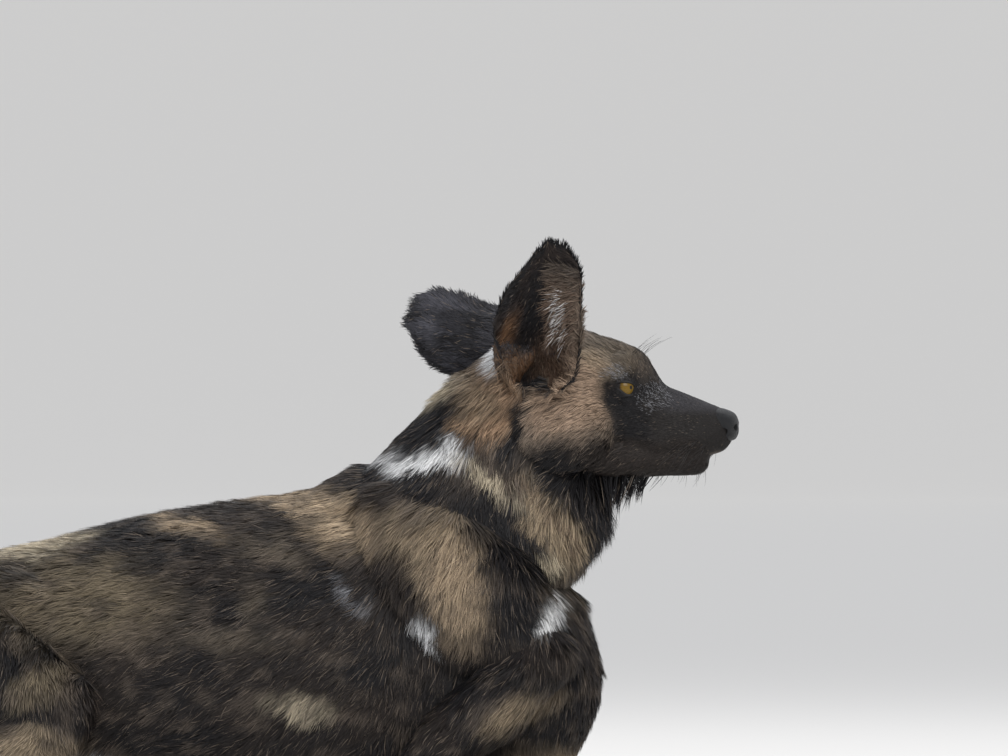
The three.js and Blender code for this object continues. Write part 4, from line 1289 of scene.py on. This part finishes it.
def ear_paint(v, u, inner, name):
    """The colours of an ear, from root to tip and across, inside and on its back, with painted sheen on its
    back and painted shade deep in its cup.
    """
    seed = 70 if name == "right" else 80
    place = np.stack([120 * v, 40 * u, np.full(len(v), 40.0 * inner)], 1)
    patchy = lattice_noise(place, 14, seed)
    if not inner:
        # The back is black with slate streaks along the hair: partly slate hairs, partly painted sheen on
        # black hair.
        sheen_streak = lattice_noise(place * (0.2, 1, 1), 4, seed + 3)
        paint = mix(BLACK, SLATE, np.clip(0.28 + 0.2 * patchy + 0.35 * sheen_streak, 0, 1)[:, None])
        base = 1 - smoothstep(0.02, 0.2, v + 0.05 * patchy)
        paint = mix(paint, mix(RUFOUS_BROWN, BLACK, 0.25) if name == "right" else WHITE, base[:, None])
        return mix(paint, BLACK, smoothstep(0.82, 0.95, np.maximum(np.abs(u), v))[:, None])
    paint = mix(BLACK, BROWN, np.clip(0.1 + 0.15 * patchy + 0.4 * smoothstep(0.32, 0.12, v), 0, 1)[:, None])
    # Painted shade: a black band down the deep middle of the cup, from the root most of the way up.
    paint = mix(paint, BLACK, (0.85 * np.exp(-(((u + 0.2) / 0.3) ** 2)) * smoothstep(0.8, 0.5, v))[:, None])
    front = smoothstep(0.68, 0.92, u) * smoothstep(0.75, 0.45, v)
    paint = mix(paint, mix(BROWN, GREY_TAN, 0.4), (0.75 * front)[:, None])
    rear = smoothstep(-0.3, -0.6, u) * smoothstep(0.42, 0.2, v + 0.08 * patchy)
    paint = mix(paint, RUFOUS_BROWN, (0.8 * rear)[:, None])
    low = smoothstep(0.26, 0.12, v) * smoothstep(-0.1, 0.3, u)
    paint = mix(paint, mix(BROWN, PINK_TAN, smoothstep(0.4, 0.9, u)[:, None]), low[:, None])
    rim = np.maximum(smoothstep(0.7, 0.9, -u) * smoothstep(0.1, 0.3, v), smoothstep(0.84, 0.94, v))
    return mix(paint, BLACK, (0.9 * rim)[:, None])


def ear_uv(v, u, inner):
    """An ear's inside and its back lie side by side on the map."""
    return np.stack([(u + 1) / 4 + 0.5 * ~inner, v], 1)


def ear_hair(spec, name, rng):
    """The short hair all over an ear."""
    near = name == "right"
    chosen = (face_ear >= 0.5) & ((face_middle[:, 1] < 0) == near)
    root, normal = scattered(chosen, EAR_DENSITY, rng)
    v, u = ear_place(root, spec)
    inward, up = ear_frame(spec, v, np.clip(u, -0.98, 0.98))
    inner = ((inward * normal).sum(1) > 0) | (normal @ on_head(spec["facing"]) > 0.2)
    way = up - unit(np.cross(inward, up)) * (np.where(inner, -0.6, 0.5) * u)[:, None]
    length = mix(mix(6.5, 9.5, smoothstep(0.08, 0.2, v)), 6.5, smoothstep(0.3, 0.6, v))
    length = np.where(inner, length, 10.0 if near else 13.0)
    stand = np.where(inner, mix(4.2, 1.8, smoothstep(0.25, 0.6, v)), 1.6)
    paint = np.where(inner[:, None], ear_paint(v, u, True, name), ear_paint(v, u, False, name))
    return root, normal, way, length, np.where(inner, 0.65, 0.8), stand, paint, ear_uv(v, u, inner)


def ear_loose(spec, v, u, inner, along, across, length, width, depth, paint):
    """Tufts at places of an ear's surface, before they settle on its skin."""
    inward, up = ear_frame(spec, v, np.clip(u, -0.98, 0.98))
    normal = inward * np.where(inner, 1.0, -1.0)[:, None]
    thick = mix(EAR_THICK, EAR_RIM, np.maximum(np.abs(u), v) ** 4) / 2 - EAR_COAT
    root = ear_surface(spec, v, u) + normal * thick[:, None]
    along, across, width, depth = (np.broadcast_to(c, v.shape) for c in (along, across, width, depth))
    way = up * along[:, None] - unit(np.cross(inward, up)) * across[:, None]
    return root, normal, way, length, width, depth, paint, ear_uv(v, u, inner)


def ear_rim(spec, near, rng):
    """Short hair round the rim, up one edge, over the tip and down the other."""
    count = EAR_TUFTS["rim"]
    t = rng.uniform(0, 3, count)
    v = np.clip(np.where(t < 1, t, np.where(t < 2, 1, 3 - t)), 0.2, 1)
    u = np.where(t < 1, -1, np.where(t < 2, 2 * (t - 1) - 1, 1)).astype(float)
    inner = rng.random(count) < 0.5
    length = rng.uniform(4.5, 7.5, count)
    edge = np.abs(u) > 0.999
    pale = (u > 0.5) & (v < 0.75) & near
    paint = np.where(pale[:, None], mix(BROWN, GREY_TAN, 0.35), BLACK)
    foot = (u < -0.5) & (v < 0.3) & near
    paint = np.where(foot[:, None], mix(RUFOUS_BROWN, BLACK, 0.4), paint)
    along, across = np.where(edge, 0.7, 1), np.where(edge, u, 0.5 * u)
    return ear_loose(spec, v, u * 0.985, inner, along, across, length, 0.8, 0.8, paint)


def ear_long(spec, rng):
    """Long hair that hangs inward from the front edge, some of it white."""
    count = EAR_TUFTS["long"]
    v = rng.uniform(0.26, 0.72, count)
    u = rng.uniform(0.3, 0.97, count)
    along = mix(-1.4, 0.3, smoothstep(0.3, 0.72, v)) + rng.normal(0, 0.3, count)
    length = rng.uniform(9, 28, count) * (1 - 0.3 * v)
    white = rng.random(count) < 0.5 * smoothstep(0.58, 0.45, v) * np.exp(-(((u - 0.58) / 0.13) ** 2))
    paint = mix(BLACK, BROWN, smoothstep(0.75, 0.45, v)[:, None])
    paint = mix(paint, GREY_TAN, rng.uniform(0, 0.45, count)[:, None])
    paint = mix(paint, WHITE, (0.6 * white)[:, None])
    depth = rng.uniform(3, 8, count)
    return ear_loose(spec, v, u, np.ones(count, bool), along, -1.0, length, 0.6, depth, paint)


def ear_brow(spec, name, rng):
    """Hair over the foot of the front edge, on both sides of it."""
    count = EAR_TUFTS["brow"]
    v = rng.uniform(0.02, 0.42, count)
    u = rng.uniform(0.7, 0.99, count)
    inner = rng.random(count) < 0.4
    length = rng.uniform(7, 13, count)
    if name == "right":
        paint = np.tile(mix(GREY_TAN, BROWN, 0.25), (count, 1))
    else:
        paint = ear_paint(v, u, False, name)
    depth = rng.uniform(1, 3.5, count)
    return ear_loose(spec, v, u, inner, 0.5, np.where(inner, -1, 1.0), length, 0.7, depth, paint)


def ear_coat(name, spec, rng):
    hair = ear_hair(spec, name, rng)
    parts = [ear_rim(spec, name == "right", rng), ear_long(spec, rng), ear_brow(spec, name, rng)]
    loose = [np.concatenate(c) for c in zip(*parts)]
    root, normal = loose[:2]
    kept = np.ones(len(root), bool)
    for i, p in enumerate(root):
        start = Vector(p + normal[i] * EAR_SETTLE)
        found, out, _, _ = skin_tree.ray_cast(start, Vector(-normal[i]), 2 * EAR_SETTLE)
        kept[i] = found is not None and out.dot(Vector(normal[i])) > 0.2
        if kept[i]:
            root[i], normal[i] = found, out
    *shape, paint, uv = (np.concatenate([c[kept], more]) for c, more in zip(loose, hair))
    paint, tip = grizzled(paint, rng, 0.03)
    tufts("coat_ear_" + name, *shape, paint, tip, uv, rng, jitter=0.22, clump=0.3)


def before_ear(name, spec, rng):
    """Hair that rises before an ear and lies over the foot of its edge."""
    count, lengths, ahead, outward, lie = EAR_FOOT[name]
    margin = ear_surface(spec, rng.uniform(0.0, 0.45, count), np.full(count, 0.95))
    roots, normals = [], []
    outward = Vector(unit(np.array(outward, float)))
    for p in margin:
        start = Vector(p + np.array(ahead) * rng.uniform(1, 12)) + outward * 30
        found, out, _, _ = skin_tree.ray_cast(start, -outward, 60)
        if found:
            roots.append(found)
            normals.append(out)
    roots, normals = np.array(roots), np.array(normals)
    n = len(roots)
    way = unit(np.array(lie) + rng.normal(0, 0.2, (n, 3)))
    length = rng.uniform(*lengths, n)
    paint, tip = grizzled(markings(roots), rng)
    tufts(
        "coat_before_ear_" + name, roots, normals, way, length, np.full(n, 0.62), 0.5 * length,
        paint, tip, unwrapped(roots, "cheek"), rng, jitter=0.15, clump=0.4,
    )


# Eyes, lids, nose, claws and whiskers

# Angles from an eye's axis, in degrees
IRIS_ANGLE, PUPIL_ANGLE, CORNEA_ANGLE = 58, 9, 60
CORNEA_HIGH = 0.8
EYE_INSET = 0.35
EYE_AROUND = 96
AMBER = colour(118, 90, 0)
AMBER_DARK = colour(66, 46, 0)


def eye_axes(side, aim):
    """An eye's middle, the way it looks, and the ways to its inner corner and its upper lid."""
    aim = unit(np.array([aim[0], aim[1] * side, aim[2]]))
    up = unit(np.array([0, 0, 1]) - aim[2] * aim)
    inner = np.cross(up, aim) * -side
    c, s = math.cos(math.radians(EYE_TILT)), math.sin(math.radians(EYE_TILT))
    inner, up = inner * c - up * s, up * c + inner * s
    middle = np.array([EYE["x"] - EYE_BACK, EYE["side"] * side, EYE["z"]], float)
    return on_head(middle), on_head(aim), on_head(inner), on_head(up)


def shader_material(name, rough, **inputs):
    material = bpy.data.materials.new(name)
    material.use_nodes = True
    shader = material.node_tree.nodes["Principled BSDF"]
    shader.inputs["Roughness"].default_value = rough
    for key, value in inputs.items():
        shader.inputs[key.replace("_", " ")].default_value = value
    return material, shader


def marks_to(material, shader):
    marks = material.node_tree.nodes.new("ShaderNodeAttribute")
    marks.attribute_name = "Marks"
    material.node_tree.links.new(marks.outputs["Color"], shader.inputs["Base Color"])


def bump_to(material, shader, kind, scale, strength, distance):
    nodes, links = material.node_tree.nodes, material.node_tree.links
    texture, bump = nodes.new(kind), nodes.new("ShaderNodeBump")
    texture.inputs["Scale"].default_value = scale
    bump.inputs["Strength"].default_value = strength
    bump.inputs["Distance"].default_value = distance
    links.new(texture.outputs[0], bump.inputs["Height"])
    links.new(bump.outputs["Normal"], shader.inputs["Normal"])


def eyeball(name, side, material):
    middle, aim, inner, up = eye_axes(side, EYE_AIM)
    bend = np.radians(np.concatenate([np.linspace(0.5, CORNEA_ANGLE, 80), np.linspace(64, 178, 30)]))
    turn = np.linspace(0, 2 * np.pi, EYE_AROUND, endpoint=False)
    b, t = np.meshgrid(bend, turn, indexing="ij")
    cornea = CORNEA_HIGH * np.clip(1 - (np.degrees(b) / CORNEA_ANGLE) ** 2, 0, 1)
    radius = EYE["radius"] - EYE_INSET + cornea
    aside = np.cos(t)[..., None] * inner + np.sin(t)[..., None] * up
    rings = middle + radius[..., None] * (np.cos(b)[..., None] * aim + np.sin(b)[..., None] * aside)
    verts, faces = closed_rings(rings)
    deg = np.degrees(b).ravel()
    spoke = lattice_noise(np.stack([9 * np.cos(t).ravel(), 9 * np.sin(t).ravel(), deg / 25], 1), 1.1, 90)
    dark = np.clip(0.3 + 0.35 * spoke + smoothstep(46, IRIS_ANGLE, deg) * 0.6, 0, 1)
    iris = mix(AMBER, AMBER_DARK, dark[:, None])
    paint = mix(iris, colour(14, 10, 8), smoothstep(IRIS_ANGLE - 2, IRIS_ANGLE + 2, deg)[:, None])
    paint = mix(colour(4, 4, 4), paint, smoothstep(PUPIL_ANGLE - 1, PUPIL_ANGLE + 1, deg)[:, None])
    paint = mix(paint, colour(74, 56, 48), smoothstep(66, 80, deg)[:, None])
    paint = np.vstack([paint, paint[:1], paint[-1:]])
    mesh = make_mesh(name, verts, faces[:, ::-1] if side < 0 else faces)
    mesh.materials.append(material)
    paint_marks(mesh, paint)
    obj = make_object(name, mesh)
    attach(obj, "root")
    return obj


LID_HALF = 10.6
LID_BACK = -1
LID_RISE = {"upper": 3.3, "lower": 5.8}
LID_RINGS, LID_AROUND = 22, 96
LID_TUFTS = 2600
LID_REACH = 2.15


def lids(name, side, tree, material):
    """A ring of skin from the rims of the lids, over the eyeball, out into the face."""
    middle, aim, inner, up = eye_axes(side, LID_AIM)
    turn = np.linspace(0, 2 * np.pi, LID_AROUND, endpoint=False)
    across = LID_HALF * np.cos(turn)
    upper = np.sin(turn) > 0
    c = np.cos(turn)
    bow = np.where(upper, 1 - np.abs(c) ** 3.2, (1 - c**2) * (1 + 0.6 * c))
    rise = np.where(upper, LID_RISE["upper"], -LID_RISE["lower"]) * bow
    rings = []
    for r in range(LID_RINGS):
        t = r / (LID_RINGS - 1)
        grow = 1 + (LID_REACH - 1) * t
        m = across * (1 + 0.75 * (grow - 1)) + mix(LID_BACK, 0, t)
        u = rise * grow + np.sin(turn) * 4.6 * (grow - 1)
        flat = np.minimum(np.hypot(m, u), EYE["radius"] + 1.2)
        dome = np.sqrt((EYE["radius"] + 1.9) ** 2 - flat**2)
        lip = EYE["radius"] + 0.1
        rim = np.sqrt(np.maximum(lip**2 - np.minimum(np.hypot(m, u), lip) ** 2, 0))
        face = np.empty(LID_AROUND)
        for i in range(LID_AROUND):
            start = middle + inner * m[i] + up * u[i] + aim * 40
            hit, _, _, far = tree.ray_cast(Vector(start), Vector(-aim))
            face[i] = 40 - far if hit else dome[i]
        height = mix(rim, dome, smoothstep(0, 0.16, t))
        height = mix(height, np.maximum(face, 0), smoothstep(0.3, 0.85, t))
        crease = np.where(np.sin(turn) > 0, 1.1, 0.6) * bow * np.exp(-(((t - 0.42) / 0.07) ** 2))
        height = height - crease - 0.9 * smoothstep(0.85, 1, t)
        rings.append(middle + np.outer(m, inner) + np.outer(u, up) + np.outer(height, aim))
    rings = np.array(rings)
    count = LID_RINGS * LID_AROUND
    i = np.arange(LID_AROUND)
    j = (i + 1) % LID_AROUND
    faces = []
    for r in range(LID_RINGS - 1):
        a, b = r * LID_AROUND, (r + 1) * LID_AROUND
        faces.append(np.stack([a + i, b + i, b + j], 1))
        faces.append(np.stack([a + i, b + j, a + j], 1))
    faces = np.vstack(faces)
    verts = rings.reshape(count, 3)
    a, b, c = verts[faces[0]]
    if np.cross(b - a, c - a) @ aim < 0:
        faces = faces[:, ::-1]
    mesh = make_mesh(name, verts, faces)
    mesh.materials.append(material)
    ring = np.repeat(np.arange(LID_RINGS), LID_AROUND) / (LID_RINGS - 1)
    paint_marks(mesh, mix(colour(16, 14, 15), markings(verts), smoothstep(0.3, 0.6, ring)[:, None]))
    obj = make_object(name, mesh)
    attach(obj, "root")
    rng = np.random.default_rng(500 + side)
    normals = vertex_normals(verts, faces)
    chosen = rng.integers(int(0.2 * LID_RINGS) * LID_AROUND, count, LID_TUFTS)
    root = verts[chosen] + rng.normal(0, 0.35, (LID_TUFTS, 3))
    _, way, _, _, _ = lie_of(root)
    away = unit(root - middle - (root - middle) @ aim[:, None] * aim)
    way = unit(way + 0.7 * away)
    share = ring[chosen]
    length = mix(1.6, 4.2, smoothstep(0.2, 0.9, share))
    paint = flecked(root, mix(BLACK, markings(root), smoothstep(0.3, 0.6, share)[:, None]), rng)
    paint, tip = grizzled(paint, rng, 0.03)
    size = np.full(LID_TUFTS, 0.42)
    tufts(
        "coat_" + name, root, normals[chosen], way, length, size, 0.25 * length, paint, tip,
        unwrapped(root, "face"), rng, (0, 0.5, 1), clump=0,
    )


NOSE_VOXEL = 0.0006


def nose_pad(material):
    form = section_form(NOSE, steps=40, around=64, head=True)
    pad = make_object("nose_form", make_mesh("nose_form", *form))
    for side in SIDES.values():
        hole = limb_form([(x, side * y, z, w, d) for x, y, z, w, d in NOSTRIL], head=True)
        cutter = make_object("nostril", make_mesh("nostril", *hole))
        m = pad.modifiers.new("nostril", "BOOLEAN")
        m.object = cutter
        m.solver = "EXACT"
    m = pad.modifiers.new("even", "REMESH")
    m.mode = "VOXEL"
    m.voxel_size = NOSE_VOXEL
    made = bpy.data.meshes.new_from_object(pad.evaluated_get(bpy.context.evaluated_depsgraph_get()))
    for o in [pad] + [m.object for m in pad.modifiers if m.type == "BOOLEAN"]:
        bpy.data.objects.remove(o)
    verts, faces = arrays(made)
    verts = smoothed(verts, faces, 5)
    q = turned(verts, -HEAD_YAW)
    philtrum = np.exp(-((q[:, 1] / 0.9) ** 2))
    philtrum = philtrum * smoothstep(222, 226, q[:, 0]) * smoothstep(366, 360, q[:, 2])
    verts = verts - vertex_normals(verts, faces) * philtrum[:, None]
    mesh = make_mesh("nose_pad", verts, faces)
    mesh.materials.append(material)
    obj = make_object("nose_pad", mesh)
    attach(obj, "root")
    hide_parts("nose")


def strand(points, width):
    """A fine hair through points, drawn out to a tip."""
    rows = [(*p, w, w) for p, w in zip(points, (width, 0.8 * width, 0.25 * width))]
    return limb_form(rows, steps=9, around=3, caps=0, up=(0.1, 0.7, 0.7))


# Whiskers of a lip and bristles of the chin and brow, on each side, and their widths
LIP_WHISKERS, CHIN_BRISTLES, BROW_BRISTLES = 13, 9, 5
WHISKER_WIDTH, BRISTLE_WIDTH = 0.22, 0.17


def whiskers(material):
    rng = np.random.default_rng(7)
    forms = []
    for side in SIDES.values():
        roots = [(rng.uniform(178, 204), rng.uniform(338, 352)) for _ in range(LIP_WHISKERS)]
        for x, z in roots:
            root = np.array([x, side * (27 - 0.35 * max(0, x - 185)), z])
            way = unit(np.array([rng.uniform(-0.7, 0.1), side * 0.9, rng.uniform(-0.7, -0.1)]))
            length = rng.uniform(26, 42)
            bend = np.array([-0.25, 0, -0.3]) * length
            forms.append((root, way, length, bend, WHISKER_WIDTH))
        for _ in range(CHIN_BRISTLES):
            root = np.array([rng.uniform(140, 198), side * rng.uniform(2, 18), 319])
            way = unit(np.array([rng.uniform(-0.5, 0.2), side * 0.2, -1]))
            length = rng.uniform(9, 17)
            forms.append((root, way, length, np.array([-0.2, 0, 0.1]) * length, BRISTLE_WIDTH))
        for _ in range(BROW_BRISTLES):
            root = np.array([rng.uniform(126, 134), side * rng.uniform(22, 30), 432])
            way = unit(np.array([rng.uniform(0.1, 0.9), side * 0.3, 0.9]))
            length = rng.uniform(20, 32)
            forms.append((root, way, length, np.array([0.35, 0, -0.2]) * length, BRISTLE_WIDTH))
    shapes = []
    for root, way, length, bend, width in forms:
        points = [root - way * 2, root + way * length * 0.5 + bend * 0.22, root + way * length + bend * 0.8]
        shapes.append(strand([on_head(p) for p in points], width))
    mesh = make_mesh("whiskers", *joined(shapes))
    mesh.materials.append(material)
    obj = make_object("whiskers", mesh)
    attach(obj, "root")


# Locks that hang behind the chin: where each is rooted and where its tip is, before the head's turn
BEARD = [
    ((134, 8, 317), (129, 6, 297)),
    ((128, -12, 317), (121, -10, 291)),
    ((122, 10, 317), (120, 9, 299)),
    ((117, -16, 317), (113, -15, 286)),
    ((111, 4, 316), (108, 3, 289)),
    ((106, -20, 316), (107, -20, 283)),
    ((101, 14, 315), (99, 12, 275)),
    ((96, -8, 314), (101, -9, 270)),
]


BEARD_HAIRS = 55
BEARD_SPREAD, BEARD_DRAWN, BEARD_LOOSE = (4.5, 5, 0.8), (0.22, 0.3, 0), (0.7, 0.7, 3.5)


def beard(rng):
    roots, tips = [], []
    for root, tip in BEARD:
        spread = rng.normal(0, 1, (BEARD_HAIRS, 3)) * BEARD_SPREAD
        roots.append(np.array(root, float) + spread)
        loose = rng.normal(0, 1, (BEARD_HAIRS, 3)) * BEARD_LOOSE
        tips.append(np.array(tip, float) + spread * BEARD_DRAWN + loose)
    roots, tips = on_head(np.vstack(roots)), on_head(np.vstack(tips))
    way = tips - roots
    length = np.linalg.norm(way, axis=1)
    normal = unit(np.cross(way, rng.normal(0, 1, way.shape)))
    size = np.full(len(roots), 0.9)
    paint, tip_paint = grizzled(np.tile(BLACK * 1.1, (len(roots), 1)), rng)
    uv = unwrapped(roots, "face")
    tufts(
        "coat_beard", roots, normal, way, length, size, size * 2, paint, tip_paint,
        uv, rng, jitter=0.03, clump=0, sway=0.05, stray=0.05,
    )


skin_tree = BVHTree.FromPolygons([tuple(v) for v in skin_verts], skin_faces.tolist())
coat_pieces()
for seed, (name, spec) in enumerate(EARS.items()):
    ear_coat(name, spec, np.random.default_rng(300 + seed))
for seed, (name, spec) in enumerate(EARS.items()):
    before_ear(name, spec, np.random.default_rng(350 + seed))
beard(np.random.default_rng(400))

eye_material, eye_shader = shader_material(
    "eye", 0.5, Coat_Weight=0.4, Coat_Roughness=0.03, Specular_IOR_Level=0.2
)
marks_to(eye_material, eye_shader)
lid_material, lid_shader = shader_material("lid", 0.55)
marks_to(lid_material, lid_shader)
bump_to(lid_material, lid_shader, "ShaderNodeTexNoise", 900, 0.5, 0.0005)
nose_material, nose_shader = shader_material("nose", 0.45, Specular_IOR_Level=0.4)
nose_shader.inputs["Base Color"].default_value = (*colour(18, 19, 22), 1)
bump_to(nose_material, nose_shader, "ShaderNodeTexVoronoi", 900, 0.6, 0.0006)
horn_material, horn_shader = shader_material("horn", 0.4)
horn_shader.inputs["Base Color"].default_value = (*colour(40, 35, 32), 1)
bump_to(horn_material, horn_shader, "ShaderNodeTexNoise", 400, 0.3, 0.0004)
hair_material, hair_shader = shader_material("whisker", 0.4)
hair_shader.inputs["Base Color"].default_value = (*colour(30, 27, 26), 1)

for name, side in SIDES.items():
    ball = eyeball("eyeball_" + name, side, eye_material)
    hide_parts("eye_" + name)
    lids("lids_" + name, side, skin_tree, lid_material)
nose_pad(nose_material)
claws = make_object("claws", make_mesh("claws", *joined(claw_forms)))
claws.data.materials.append(horn_material)
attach(claws, "root")
whiskers(hair_material)

# Camera, light and stage


def look(azimuth, elevation=0):
    a, e = math.radians(azimuth), math.radians(elevation)
    return Vector((math.sin(a) * math.cos(e), -math.cos(a) * math.cos(e), math.sin(e)))


def stage_material(name, paint):
    material = bpy.data.materials.new(name)
    material.use_nodes = True
    shader = material.node_tree.nodes["Principled BSDF"]
    shader.inputs["Base Color"].default_value = (*paint, 1)
    shader.inputs["Roughness"].default_value = 0.9
    shader.inputs["Emission Color"].default_value = (1, 0.99, 0.97, 1)
    shader.inputs["Emission Strength"].default_value = STAGE_GLOW
    return material


# The flat floor's rings and the backdrop's bend and height, in metres
STAGE_RINGS = (3, 10, 30)
STAGE_COLOUR = (0.48, 0.475, 0.465)
STAGE_CURVE = 3
STAGE_HEIGHT = 7
STAGE_GLOW = 0.34
STAGE_AROUND = 96


def sweep():
    """A round floor that curves up into a plain backdrop on all sides."""
    wide = STAGE_RINGS[-1]
    bend = np.linspace(0, math.pi / 2, 17)[1:]
    profile = [(r, 0) for r in STAGE_RINGS]
    profile += [(wide + STAGE_CURVE * math.sin(b), STAGE_CURVE * (1 - math.cos(b))) for b in bend]
    profile.append((wide + STAGE_CURVE, STAGE_HEIGHT))
    turn = np.linspace(0, 2 * math.pi, STAGE_AROUND, endpoint=False)
    verts = [(r * math.cos(a), r * math.sin(a), z) for r, z in profile for a in turn] + [(0, 0, 0)]
    faces = [(len(verts) - 1, k, (k + 1) % STAGE_AROUND) for k in range(STAGE_AROUND)]
    for row in range(len(profile) - 1):
        for k in range(STAGE_AROUND):
            a, b = row * STAGE_AROUND + k, row * STAGE_AROUND + (k + 1) % STAGE_AROUND
            faces.append((a, a + STAGE_AROUND, b + STAGE_AROUND, b))
    mesh = bpy.data.meshes.new("floor")
    mesh.from_pydata(verts, [], faces)
    mesh.polygons.foreach_set("use_smooth", [True] * len(faces))
    mesh.materials.append(stage_material("floor", STAGE_COLOUR))
    floor = make_object("floor", mesh)


# Name, azimuth, elevation, distance and size in metres, watts and tint
LIGHTS = [
    ("key", 40, 42, 3.5, 2.2, 75, (1, 0.97, 0.93)),
    ("fill", -50, 25, 4, 3, 35, (0.93, 0.96, 1)),
    ("top", 170, 60, 3.5, 2.5, 60, (1, 1, 1)),
]


def area_light(name, azimuth, elevation, distance, size, power, tint):
    light = bpy.data.objects.new(name, bpy.data.lights.new(name, "AREA"))
    bpy.context.scene.collection.objects.link(light)
    light.data.size = size
    light.data.energy = power
    light.data.color = tint
    way = look(azimuth, elevation)
    light.location = Vector((0, 0, 0.25)) + way * distance
    light.rotation_mode = "QUATERNION"
    light.rotation_quaternion = way.to_track_quat("Z", "Y")


sweep()
for light in LIGHTS:
    area_light(*light)
world = bpy.data.worlds.new("studio")
world.use_nodes = True
world.node_tree.nodes["Background"].inputs["Color"].default_value = (0.9, 0.93, 1, 1)
world.node_tree.nodes["Background"].inputs["Strength"].default_value = 0.55
bpy.context.scene.world = world
bpy.context.scene.view_settings.view_transform = "Standard"

back = look(VIEW_AZIMUTH)
middle = Vector((SHIFT[0] / 1000, SHIFT[1] / 1000, VIEW_HEIGHT / 1000))
camera = bpy.data.objects.new("camera", bpy.data.cameras.new("camera"))
bpy.context.scene.collection.objects.link(camera)
camera.location = middle + back * (VIEW_DISTANCE / 1000)
camera.rotation_mode = "QUATERNION"
camera.rotation_quaternion = (-back).to_track_quat("-Z", "Y")
camera.data.sensor_width = SENSOR
camera.data.lens = SENSOR * VIEW_DISTANCE / (PHOTO_WIDTH * PIXEL)
camera.data.clip_end = 100
bpy.context.scene.camera = camera
